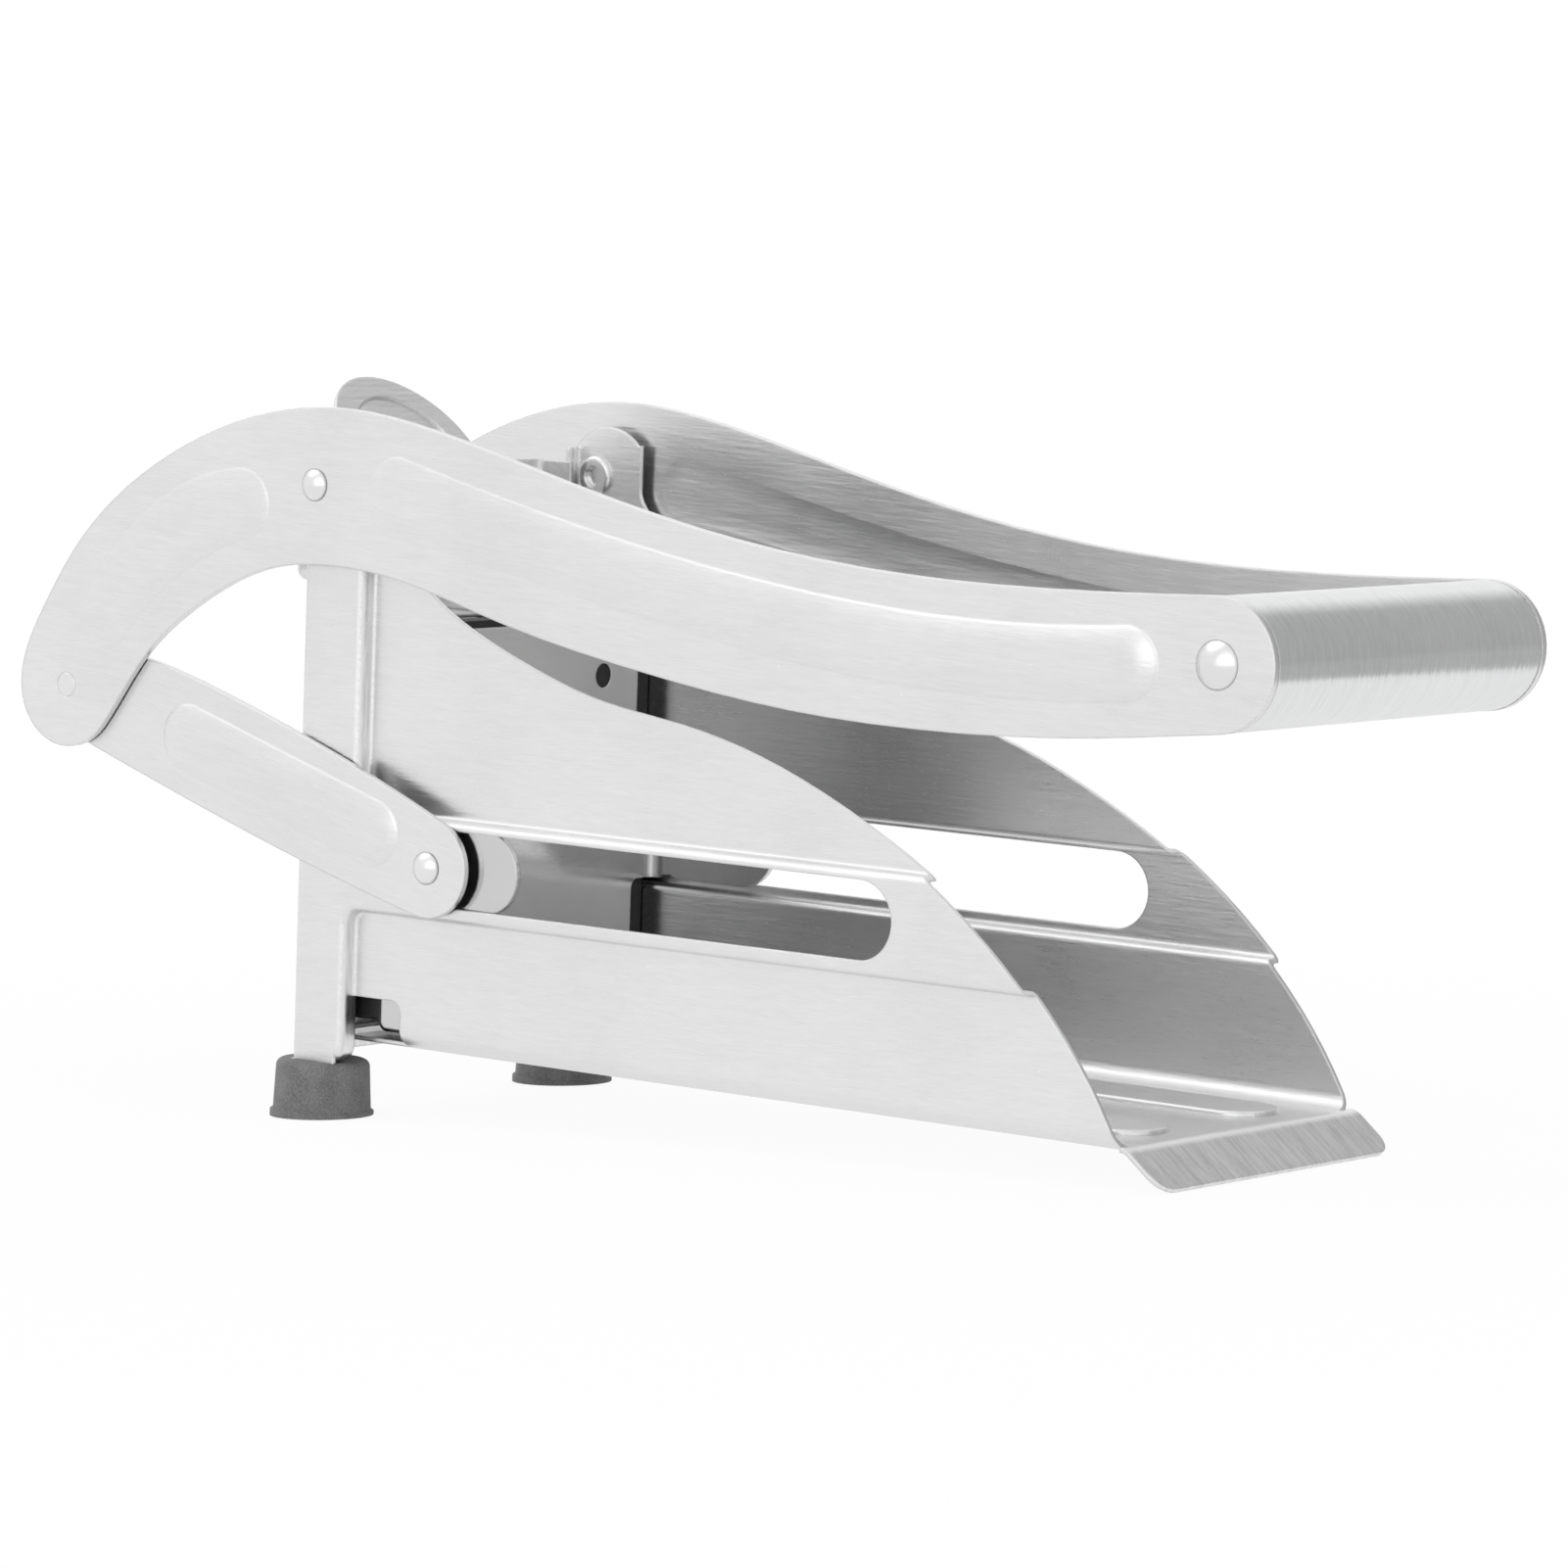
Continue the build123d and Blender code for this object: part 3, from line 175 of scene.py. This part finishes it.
def brushed_steel(name, colour, roughness, grain, axis="X", contrast=1.0, marks=0.5, anisotropic=0.5,
                  wear=0.0):
    """Bare brushed stainless: streaks along the axis, cloudy handling marks, and a few nicks lightened with
    a painted glint.
    """
    material, tree, shader = new_material(name, Metallic=1.0, Anisotropic=anisotropic)
    place = add(tree, "ShaderNodeTexCoord").outputs["Object"]
    tilt, along, across = grain
    fine = streaks(tree, place, tilt, along, across, axis, detail=4.0)
    broad = streaks(tree, place, tilt, along * BROAD_ALONG, across * BROAD_ACROSS, axis, detail=2.0)
    smudge = noise(tree, place, SMUDGES, detail=4.0, rugged=0.6)
    nick = add(tree, "ShaderNodeTexVoronoi", Scale=NICKS, Randomness=1.0)
    link(tree, place, nick.inputs["Vector"])
    dents = ramp(tree, nick.outputs["Distance"], 1.0, 0.0, *NICK_RIM)
    patches = ramp(tree, noise(tree, place, NICK_PATCHES, detail=0.0), 0.0, 1.0, *NICKED)
    nicks = maths(tree, "MULTIPLY", dents, patches)

    tone = maths(tree, "MULTIPLY", vary(tree, fine, 1.0, FINE_TONE, contrast, STREAK_SPREAD),
                 vary(tree, broad, 1.0, BROAD_TONE, contrast, STREAK_SPREAD))
    tone = maths(tree, "MULTIPLY", tone, vary(tree, smudge, 1.0, SMUDGE_TONE, marks, SMUDGE_SPREAD))
    # the nicks are lightened with a painted glint
    tone = maths(tree, "ADD", tone, maths(tree, "MULTIPLY", nicks, NICK_PAINTED_GLINT * marks))
    if wear:                            # the lip is rubbed into stronger streaks than the rest
        slope = ramp(tree, faces_along(tree, "X"), 0.0, wear, *LIP_SLOPES)
        swing = maths(tree, "SUBTRACT", maths(tree, "ADD", fine, broad), 1.0)
        tone = maths(tree, "ADD", tone, maths(tree, "MULTIPLY", slope, swing))
    tint = add(tree, "ShaderNodeVectorMath", operation="SCALE")
    tint.inputs[0].default_value = colour
    link(tree, tone, tint.inputs["Scale"])
    link(tree, tint.outputs[0], shader.inputs["Base Color"])

    rough = vary(tree, fine, roughness, FINE_ROUGHNESS, 1.0, STREAK_SPREAD)
    hazy = vary(tree, smudge, 0.0, SMUDGE_ROUGHNESS, marks, SMUDGE_SPREAD)
    link(tree, maths(tree, "ADD", rough, hazy), shader.inputs["Roughness"])

    height = maths(tree, "ADD", maths(tree, "MULTIPLY", fine, FINE_GROOVES), broad)
    height = maths(tree, "ADD", height, maths(tree, "MULTIPLY", nicks, NICK_DENTS))
    edge = add(tree, "ShaderNodeBevel", Radius=EDGE_RADIUS, samples=4)
    bump = add(tree, "ShaderNodeBump", Strength=BUMP_STRENGTH, Distance=GROOVE_DEPTH * contrast)
    link(tree, height, bump.inputs["Height"])
    link(tree, edge.outputs["Normal"], bump.inputs["Normal"])
    link(tree, bump.outputs["Normal"], shader.inputs["Normal"])

    if axis == "around":
        tangent = add(tree, "ShaderNodeCombineXYZ", Y=1.0)
    else:
        tangent = add(tree, "ShaderNodeVectorMath", operation="CROSS_PRODUCT")
        link(tree, normal(tree), tangent.inputs[0])
        slight, lift = OFF_AXIS
        tangent.inputs[1].default_value = (1.0, slight, lift) if axis == "X" else (slight, 1.0, lift)
    link(tree, tangent.outputs[0], shader.inputs["Tangent"])
    return material


def finish_node(node, material):
    """Gives a CAD node's mesh one material."""
    slots = nodes[node].data.materials
    slots.clear()
    slots.append(material)


chute_steel = brushed_steel("brushed sheet steel", SHEET_STEEL, SHEET_ROUGHNESS, (LEAN, *SHEET_STREAKS),
                            wear=LIP_WEAR)
finish_node("chute_body", chute_steel)


# ---- feet --------------------------------------------------------------------------------------------
# Two dark rubber bumpers, moulded and pressed onto the tongues under the posts. Their skin is dull,
# pitted and speckled lighter with dust.
RUBBER = (0.12, 0.12, 0.122)
RUBBER_DUST = (0.30, 0.30, 0.30)
RUBBER_ROUGHNESS = 0.62
RUBBER_PITS, RUBBER_PIT_DEPTH = 2600.0, 0.00012         # pits to the metre, and how deep
DULL_GLOSS = 0.35
PIT_SPREAD, PIT_DUST = (0.42, 0.68), 0.6                # the noise's range, and how much dust it adds
PATCH_SPREAD, PATCH_DUST = (0.4, 0.65), 0.2
PATCHES_FOR_PITS = 0.09                 # how many patches there are for each pit
PIT_ROUGHNESS = (-0.1, 0.1)
PIT_STRENGTH = 0.5


def mottled(name, dark, light, roughness, scale, bump_depth):
    """Dull moulded surface, speckled between two tones and finely pitted."""
    material, tree, shader = new_material(name, **{"Specular IOR Level": DULL_GLOSS})
    place = add(tree, "ShaderNodeTexCoord").outputs["Object"]
    pits = noise(tree, place, scale, detail=5.0, rugged=0.7)
    patches = noise(tree, place, scale * PATCHES_FOR_PITS, detail=2.0)
    mix = add(tree, "ShaderNodeMix", data_type="RGBA")
    mix.inputs["A"].default_value = (*dark, 1.0)
    mix.inputs["B"].default_value = (*light, 1.0)
    dust = maths(tree, "ADD", ramp(tree, pits, 0.0, PIT_DUST, *PIT_SPREAD),
                 ramp(tree, patches, 0.0, PATCH_DUST, *PATCH_SPREAD))
    link(tree, dust, mix.inputs["Factor"])
    link(tree, mix.outputs["Result"], shader.inputs["Base Color"])
    link(tree, vary(tree, pits, roughness, PIT_ROUGHNESS, 1.0, SMUDGE_SPREAD), shader.inputs["Roughness"])
    bump = add(tree, "ShaderNodeBump", Strength=PIT_STRENGTH, Distance=bump_depth)
    link(tree, pits, bump.inputs["Height"])
    link(tree, bump.outputs["Normal"], shader.inputs["Normal"])
    return material


foot_rubber = mottled("foot rubber", RUBBER, RUBBER_DUST, RUBBER_ROUGHNESS, RUBBER_PITS, RUBBER_PIT_DEPTH)
for side in ("left", "right"):
    finish_node(f"foot_{side}", foot_rubber)


# ---- blade frame and blades --------------------------------------------------------------------------
# The blade frame is pressed from the same brushed sheet as the chute. The ten blades are thinner,
# brighter strip, ground on their front edges and slotted together into a grid.
BRIGHT_STEEL = (0.80, 0.805, 0.81)
BLADE_ROUGHNESS = 0.24
BLADE_STREAKS = (90.0, 3400.0)
BLADES_EACH_WAY = 5
frame_steel = brushed_steel("blade frame steel", SHEET_STEEL, SHEET_ROUGHNESS, (0.0, *SHEET_STREAKS),
                            axis="Y")
blade_steel = brushed_steel("blade steel", BRIGHT_STEEL, BLADE_ROUGHNESS, (0.0, *BLADE_STREAKS),
                            contrast=0.7, marks=0.2)
finish_node("blade_frame", frame_steel)
for number in range(1, BLADES_EACH_WAY + 1):
    finish_node(f"vertical_blade_{number}", blade_steel)
    finish_node(f"horizontal_blade_{number}", blade_steel)


# ---- lever -------------------------------------------------------------------------------------------
# Two arms of thicker sheet, brushed along their length and pressed with a long and a short bead. The
# beads are soft crowned swellings, hollow behind, and the long one deepens towards the handle.
LEVER_ROUGHNESS = 0.31
LEVER_TILT = math.radians(5.0)          # the brushing dips this much towards the handle
LEVER_FACES = (0.0466, 0.0451)          # outer and inner face of the arm's sheet, from the middle plane
LEVER_BEAD = 0.0015                     # how far the flat-topped beads stand proud
LEVER_REACHES = (0.0054, 0.0042)        # how far in from its foot a bead still rises, outside and inside
BEAD_DEEPENS = (0.02, 0.20)             # from and until how far ahead of the pivot
BEAD_LEAST = 0.45                       # share of its full height that a bead has before that

CROWN_STEPS = 6                         # rings in a crown, after the first
STEP_WIDTH, STEP_SHARE = 0.0004, 0.22   # a bead's first steep step, and its share of the height
HOLLOW_SHARE = 0.4                      # the die leaves the back of a bead shallower than its front
HOLLOW_OFFSET = 2.2                     # a hollow's foot is within so many sheet thicknesses of its crown's
MERGE_WITHIN = 0.000004
LEVEL_WITHIN = 0.00001                  # a corner this near a plane lies in it
FOOT_WITHIN = 0.00005                   # a corner this near a foot line stands on it
UPRIGHT, FLAT = 0.5, 0.99               # share of the normal along Y: a wall's at most, a flat's at least
FEW_CORNERS = 8                         # only the one face of a refilled bead has more
NO_LENGTH = 1e-14                       # least square of an edge's length, to divide by
SMOOTH_UNDER = math.radians(9.0)        # faces that meet at less than this are shaded as one


def work_on(piece):
    """Makes one piece the only selected and active one."""
    bpy.ops.object.select_all(action="DESELECT")
    piece.select_set(True)
    bpy.context.view_layer.objects.active = piece


def pressed_copy(node):
    """A copy of a CAD node with its loose triangles merged into one sheet."""
    piece = nodes[node].copy()
    piece.data = nodes[node].data.copy()
    piece.name = f"{node}_pressed"
    bpy.context.collection.objects.link(piece)
    work_on(piece)
    bpy.ops.mesh.customdata_custom_splitnormals_clear()
    bpy.ops.object.mode_set(mode="EDIT")
    bpy.ops.mesh.select_all(action="SELECT")
    bpy.ops.mesh.remove_doubles(threshold=MERGE_WITHIN)
    bpy.ops.object.mode_set(mode="OBJECT")
    return piece


def foot_distance(x, z, foot):
    """How far a place lies from a bead's foot line, seen square to the sheet."""
    nearest = math.inf
    for ax, az, bx, bz in foot:
        dx, dz = bx - ax, bz - az
        run = max(dx * dx + dz * dz, NO_LENGTH)
        along = min(max(((x - ax) * dx + (z - az) * dz) / run, 0.0), 1.0)
        nearest = min(nearest, math.hypot(x - ax - along * dx, z - az - along * dz))
    return nearest


def foot_line(mesh, plane, rise):
    """The edges in which the beads' upright walls meet one face of the sheet."""
    foot = set()
    for face in mesh.polygons:
        corners = [mesh.vertices[i].co for i in face.vertices]
        low = [corner for corner in corners if abs(abs(corner.y) - plane) < LEVEL_WITHIN]
        high = [corner for corner in corners if plane < abs(corner.y) - LEVEL_WITHIN < plane + rise]
        if abs(face.normal.y) <= UPRIGHT and len(low) == 2 and len(high) == len(corners) - 2:
            foot.add((low[0].x, low[0].z, low[1].x, low[1].z))
    return sorted(foot)


def hollow_corners(mesh, plane, rise, foot):
    """The corners of a bead's back: its flat bottom, and its wall above the foot line."""
    corners = set()
    for face in mesh.polygons:
        if face.normal.y * math.copysign(1.0, face.center.y) < -FLAT and all(
                abs(abs(mesh.vertices[i].co.y) - plane - rise) < LEVEL_WITHIN for i in face.vertices):
            corners.update(face.vertices)
    for vertex in mesh.vertices:
        if (plane + LEVEL_WITHIN < abs(vertex.co.y) < plane + rise + LEVEL_WITHIN
                and foot_distance(vertex.co.x, vertex.co.z, foot) < FOOT_WITHIN):
            corners.add(vertex.index)
    return corners


def select_faces(mesh, wanted):
    """Selects the faces that a test picks, and nothing else."""
    bpy.ops.object.mode_set(mode="EDIT")
    bpy.ops.mesh.select_mode(type="FACE")
    bpy.ops.mesh.select_all(action="DESELECT")
    bpy.ops.object.mode_set(mode="OBJECT")
    for face in mesh.polygons:
        face.select = wanted(face)


def raise_crown(mesh, corners, foot, plane, reach, height):
    """Puts one flat face in place of each bead's faces, insets it in rings and lifts them to a crown."""
    select_faces(mesh, lambda face: any(i in corners for i in face.vertices))
    bpy.ops.object.mode_set(mode="EDIT")
    bpy.ops.mesh.delete(type="FACE")
    bpy.ops.mesh.select_all(action="SELECT")
    bpy.ops.mesh.fill_holes(sides=0)
    bpy.ops.object.mode_set(mode="OBJECT")
    select_faces(mesh, lambda face: len(face.vertices) > FEW_CORNERS
                 and abs(abs(face.center.y) - plane) < LEVEL_WITHIN)
    before = len(mesh.vertices)
    slope = reach - STEP_WIDTH
    bpy.ops.object.mode_set(mode="EDIT")
    for step in [STEP_WIDTH] + [slope / CROWN_STEPS] * CROWN_STEPS:
        bpy.ops.mesh.inset(thickness=step, use_even_offset=True)
    bpy.ops.object.mode_set(mode="OBJECT")
    lifted = set(range(before, len(mesh.vertices)))
    lifted |= {i for face in mesh.polygons if face.select for i in face.vertices}
    for vertex in (mesh.vertices[i] for i in lifted):
        away = foot_distance(vertex.co.x, vertex.co.z, foot)
        to_go = 1.0 - min(max(away - STEP_WIDTH, 0.0) / slope, 1.0)
        part = STEP_SHARE * min(away / STEP_WIDTH, 1.0) + (1.0 - STEP_SHARE) * (1.0 - to_go * to_go)
        vertex.co.y = math.copysign(plane + height(vertex.co.x) * part, vertex.co.y)


def crowned(node, body, faces, rise, reaches, share, material):
    """A copy of a pressed sheet whose flat-topped beads are rounded into crowns, outside and inside."""
    piece = pressed_copy(node)
    mesh = piece.data
    (outer, inner), (outer_reach, inner_reach) = faces, reaches
    foot = foot_line(mesh, outer, rise)
    proud = {vertex.index for vertex in mesh.vertices if abs(vertex.co.y) > outer + LEVEL_WITHIN}
    raise_crown(mesh, proud, foot, outer, outer_reach, lambda x: rise * share(x))

    hollow_foot = [(ax, az, bx, bz) for ax, az, bx, bz in foot_line(mesh, inner, rise)
                   if foot_distance((ax + bx) / 2, (az + bz) / 2, foot) < HOLLOW_OFFSET * (outer - inner)]
    hollow = hollow_corners(mesh, inner, rise, hollow_foot)
    raise_crown(mesh, hollow, hollow_foot, inner, inner_reach, lambda x: rise * share(x) * HOLLOW_SHARE)

    bpy.ops.object.mode_set(mode="EDIT")
    bpy.ops.mesh.select_all(action="SELECT")
    bpy.ops.mesh.remove_doubles(threshold=MERGE_WITHIN)
    bpy.ops.mesh.quads_convert_to_tris(quad_method="BEAUTY", ngon_method="BEAUTY")
    bpy.ops.object.mode_set(mode="OBJECT")
    bpy.ops.object.shade_smooth_by_angle(angle=SMOOTH_UNDER)
    mesh.materials.clear()
    mesh.materials.append(material)
    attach(piece, body)
    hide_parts(node)
    bpy.ops.object.select_all(action="DESELECT")


def lever_share(x):
    """The beads' share of their height, which grows from the pivot towards the handle."""
    start, end = BEAD_DEEPENS
    ahead = (x - joints["lever_lift"]["pos_m"][0] - start) / (end - start)
    return BEAD_LEAST + (1.0 - BEAD_LEAST) * min(max(ahead, 0.0), 1.0)


lever_steel = brushed_steel("lever steel", SHEET_STEEL, LEVER_ROUGHNESS, (LEVER_TILT, *SHEET_STREAKS))
for side in ("left", "right"):
    crowned(f"lever_arm_{side}", "lever", LEVER_FACES, LEVER_BEAD, LEVER_REACHES, lever_share, lever_steel)


# ---- handle ------------------------------------------------------------------------------------------
# A steel tube between the arms, polished round and round, closed by two plugs and held by a through rod
# whose ends are domed over outside the arms.
TUBE_ROUGHNESS = 0.22
TUBE_STREAKS = (260.0, 3800.0)          # to the metre, round the tube and along it
PLUG_BLACK, PLUG_DUST = (0.03, 0.03, 0.03), (0.06, 0.06, 0.06)
PLUG_ROUGHNESS = 0.5
PLUG_PITS, PLUG_PIT_DEPTH = 1800.0, 0.00004
tube_steel = brushed_steel("tube steel", BRIGHT_STEEL, TUBE_ROUGHNESS, (0.0, *TUBE_STREAKS), axis="around",
                           contrast=1.6, anisotropic=0.75)
plug_plastic = mottled("plug plastic", PLUG_BLACK, PLUG_DUST, PLUG_ROUGHNESS, PLUG_PITS, PLUG_PIT_DEPTH)
finish_node("handle_tube", tube_steel)
finish_node("handle_plugs", plug_plastic)


# ---- links -------------------------------------------------------------------------------------------
# Two short sheet bars with one bead each, brushed roughly along their length. They join the lever's rear
# ends to the pusher, outside the walls.
LINK_ROUGHNESS = 0.30
LINK_TILT = math.radians(14.0)          # the brushing dips this much towards the pusher
LINK_FACES = (0.0448, 0.0435)
LINK_BEAD = 0.0013
LINK_REACHES = (0.0056, 0.0042)
LINK_SHARE = 0.75                       # share of its full height that the bead has, all along
link_steel = brushed_steel("link steel", SHEET_STEEL, LINK_ROUGHNESS, (LINK_TILT, *SHEET_STREAKS))
for side in ("left", "right"):
    crowned(f"link_{side}", "links", LINK_FACES, LINK_BEAD, LINK_REACHES, lambda x: LINK_SHARE, link_steel)


# ---- rivets and washers ------------------------------------------------------------------------------
# Turned steel rivets, peened over, the washers that space the arms from the posts, and the rod through
# the handle: all smooth, and brighter than the sheet.
RIVET_STEEL = (0.80, 0.80, 0.80)
RIVET_ROUGHNESS = 0.20
RIVET_STREAKS = (400.0, 900.0)
rivet_steel = brushed_steel("rivet steel", RIVET_STEEL, RIVET_ROUGHNESS, (0.0, *RIVET_STREAKS),
                            contrast=0.5, marks=0.8, anisotropic=0.0)
for node in ("pivot_rivets", "pivot_washers", "crank_rivets", "crank_rivet_tails", "slot_rivets",
             "handle_rod"):
    finish_node(node, rivet_steel)


# ---- pusher ------------------------------------------------------------------------------------------
# A smooth steel plate with two bent lugs carries the moulded black block whose pegs push through the
# grid.
PUSHER_STEEL = (0.62, 0.62, 0.62)
PUSHER_ROUGHNESS = 0.12
PUSHER_STREAKS = (400.0, 3000.0)
BLOCK_BLACK, BLOCK_DUST = (0.012, 0.012, 0.012), (0.028, 0.028, 0.028)
BLOCK_ROUGHNESS = 0.45
BLOCK_PITS, BLOCK_PIT_DEPTH = 2200.0, 0.00003
pusher_steel = brushed_steel("pusher steel", PUSHER_STEEL, PUSHER_ROUGHNESS, (0.0, *PUSHER_STREAKS),
                             axis="Y", contrast=0.2, marks=1.0, anisotropic=0.0)
block_plastic = mottled("black plastic", BLOCK_BLACK, BLOCK_DUST, BLOCK_ROUGHNESS, BLOCK_PITS,
                        BLOCK_PIT_DEPTH)
finish_node("pusher_plate", pusher_steel)
finish_node("pusher_block", block_plastic)


# ---- studio ------------------------------------------------------------------------------------------
# A white table under a soft white surround: bright at the front left and overhead, with two soft lamps,
# and dim beyond the table's back right edge, where round and right-hand faces of the steel find their grey.
FLOOR_SIZE = 8.0
FLOOR_DROP = 0.0002                     # below the feet, so that the two never share a plane
FLOOR_WHITE = (0.86, 0.86, 0.86, 1.0)
TABLE_BACK = (0.372, 0.384)             # where the table ends at the back right
SHADOW_FADES = (0.2, 0.6)               # from and until how far out the faint shadow gives way to white
NEAR_GLOW = 0.93                        # share of plain white in the floor beside the object
MIRRORED_GLOW = 0.88                    # and in the floor as the steel reflects it
WHITE = (1.0, 1.0, 1.0, 1.0)
RIGHT_BACK = (0.61, 0.79, 0.0)
FRONT_LEFT = (-0.61, -0.79, 0.0)
DIM = 0.46
DIM_FROM, DIM_UNTIL = -0.50, -0.68      # how far round to the back right the surround falls off
TOP_GLOW, TOP_SPREAD = 0.98, (0.68, 0.9)        # how bright it is overhead, and from and until how steep
LAMP_GLOW = 0.55
SOFT_LAMPS = (                          # each lamp's aim, core and rim
    ((-0.50, -0.24, 0.83), 0.94, 0.84),
    ((0.22, -0.97, 0.10), 0.94, 0.82),
)


def facing(tree, direction, aim):
    """The share of a direction that lies along an aim."""
    node = add(tree, "ShaderNodeVectorMath", operation="DOT_PRODUCT")
    link(tree, direction, node.inputs[0])
    node.inputs[1].default_value = aim
    return node.outputs["Value"]


bpy.ops.mesh.primitive_plane_add(size=FLOOR_SIZE, location=(0.0, 0.0, 0.0))
floor = bpy.context.object
floor.name = "floor"
for vertex in floor.data.vertices:
    vertex.co.z = -FLOOR_DROP
floor_paint = bpy.data.materials.new("floor white")
floor_paint.use_nodes = True
tree = floor_paint.node_tree
tree.nodes.clear()
place = add(tree, "ShaderNodeTexCoord").outputs["Object"]
away = add(tree, "ShaderNodeVectorMath", operation="LENGTH")
link(tree, place, away.inputs[0])
heading = add(tree, "ShaderNodeVectorMath", operation="NORMALIZE")
link(tree, place, heading.inputs[0])
rays = add(tree, "ShaderNodeLightPath")
seen = rays.outputs["Is Camera Ray"]
mirrored = maths(tree, "MAXIMUM", rays.outputs["Is Glossy Ray"], rays.outputs["Is Transmission Ray"])
table = maths(tree, "MAXIMUM", ramp(tree, facing(tree, place, RIGHT_BACK), 1.0, DIM, *TABLE_BACK),
              ramp(tree, facing(tree, heading.outputs[0], FRONT_LEFT), DIM, 1.0, DIM_UNTIL, DIM_FROM))
diffuse = add(tree, "ShaderNodeBsdfDiffuse", Color=FLOOR_WHITE)
glow = add(tree, "ShaderNodeEmission", Color=WHITE)
link(tree, maths(tree, "MAXIMUM", seen, table), glow.inputs["Strength"])
seen_glow = maths(tree, "MULTIPLY", seen, ramp(tree, away.outputs["Value"], NEAR_GLOW, 1.0, *SHADOW_FADES))
mirrored_glow = maths(tree, "MULTIPLY", mirrored, MIRRORED_GLOW)
mix = add(tree, "ShaderNodeMixShader")
link(tree, maths(tree, "MAXIMUM", seen_glow, mirrored_glow), mix.inputs[0])
link(tree, diffuse.outputs[0], mix.inputs[1])
link(tree, glow.outputs[0], mix.inputs[2])
link(tree, mix.outputs[0], add(tree, "ShaderNodeOutputMaterial").inputs["Surface"])
floor.data.materials.append(floor_paint)

world = bpy.data.worlds.new("studio")
bpy.context.scene.world = world
world.use_nodes = True
tree = world.node_tree
tree.nodes.clear()
direction = add(tree, "ShaderNodeTexCoord").outputs["Generated"]
split = add(tree, "ShaderNodeSeparateXYZ")
link(tree, direction, split.inputs[0])
side_light = ramp(tree, facing(tree, direction, FRONT_LEFT), DIM, 1.0, DIM_UNTIL, DIM_FROM)
top_light = ramp(tree, split.outputs["Z"], DIM, TOP_GLOW, *TOP_SPREAD)
surround = maths(tree, "MAXIMUM", side_light, top_light)
for aim, core, rim in SOFT_LAMPS:
    lamp = ramp(tree, facing(tree, direction, aim), 0.0, LAMP_GLOW, rim, core)
    surround = maths(tree, "ADD", surround, lamp)
camera_ray = add(tree, "ShaderNodeLightPath").outputs["Is Camera Ray"]
sky = add(tree, "ShaderNodeBackground", Color=WHITE)
link(tree, maths(tree, "MAXIMUM", surround, camera_ray), sky.inputs["Strength"])
link(tree, sky.outputs[0], add(tree, "ShaderNodeOutputWorld").inputs["Surface"])


# ---- camera ------------------------------------------------------------------------------------------
# A long lens, placed from the lever's pivot: away to the lip's left, a little above the pivot and tipped
# down a little.
CAMERA_FROM_PIVOT = (0.9093, -1.0731, 0.0361)
CAMERA_AZIMUTH = math.radians(37.62)
CAMERA_DIP = math.radians(4.009)
LENS, SENSOR_WIDTH = 157.4, 36.0        # millimetres
pivot = joints["lever_lift"]["pos_m"]
bpy.ops.object.camera_add(location=[a + b for a, b in zip(pivot, CAMERA_FROM_PIVOT)],
                          rotation=(math.pi / 2 - CAMERA_DIP, 0.0, CAMERA_AZIMUTH))
camera = bpy.context.object
camera.data.lens = LENS
camera.data.sensor_width = SENSOR_WIDTH
bpy.context.scene.camera = camera
bpy.context.scene.view_settings.view_transform = "Standard"
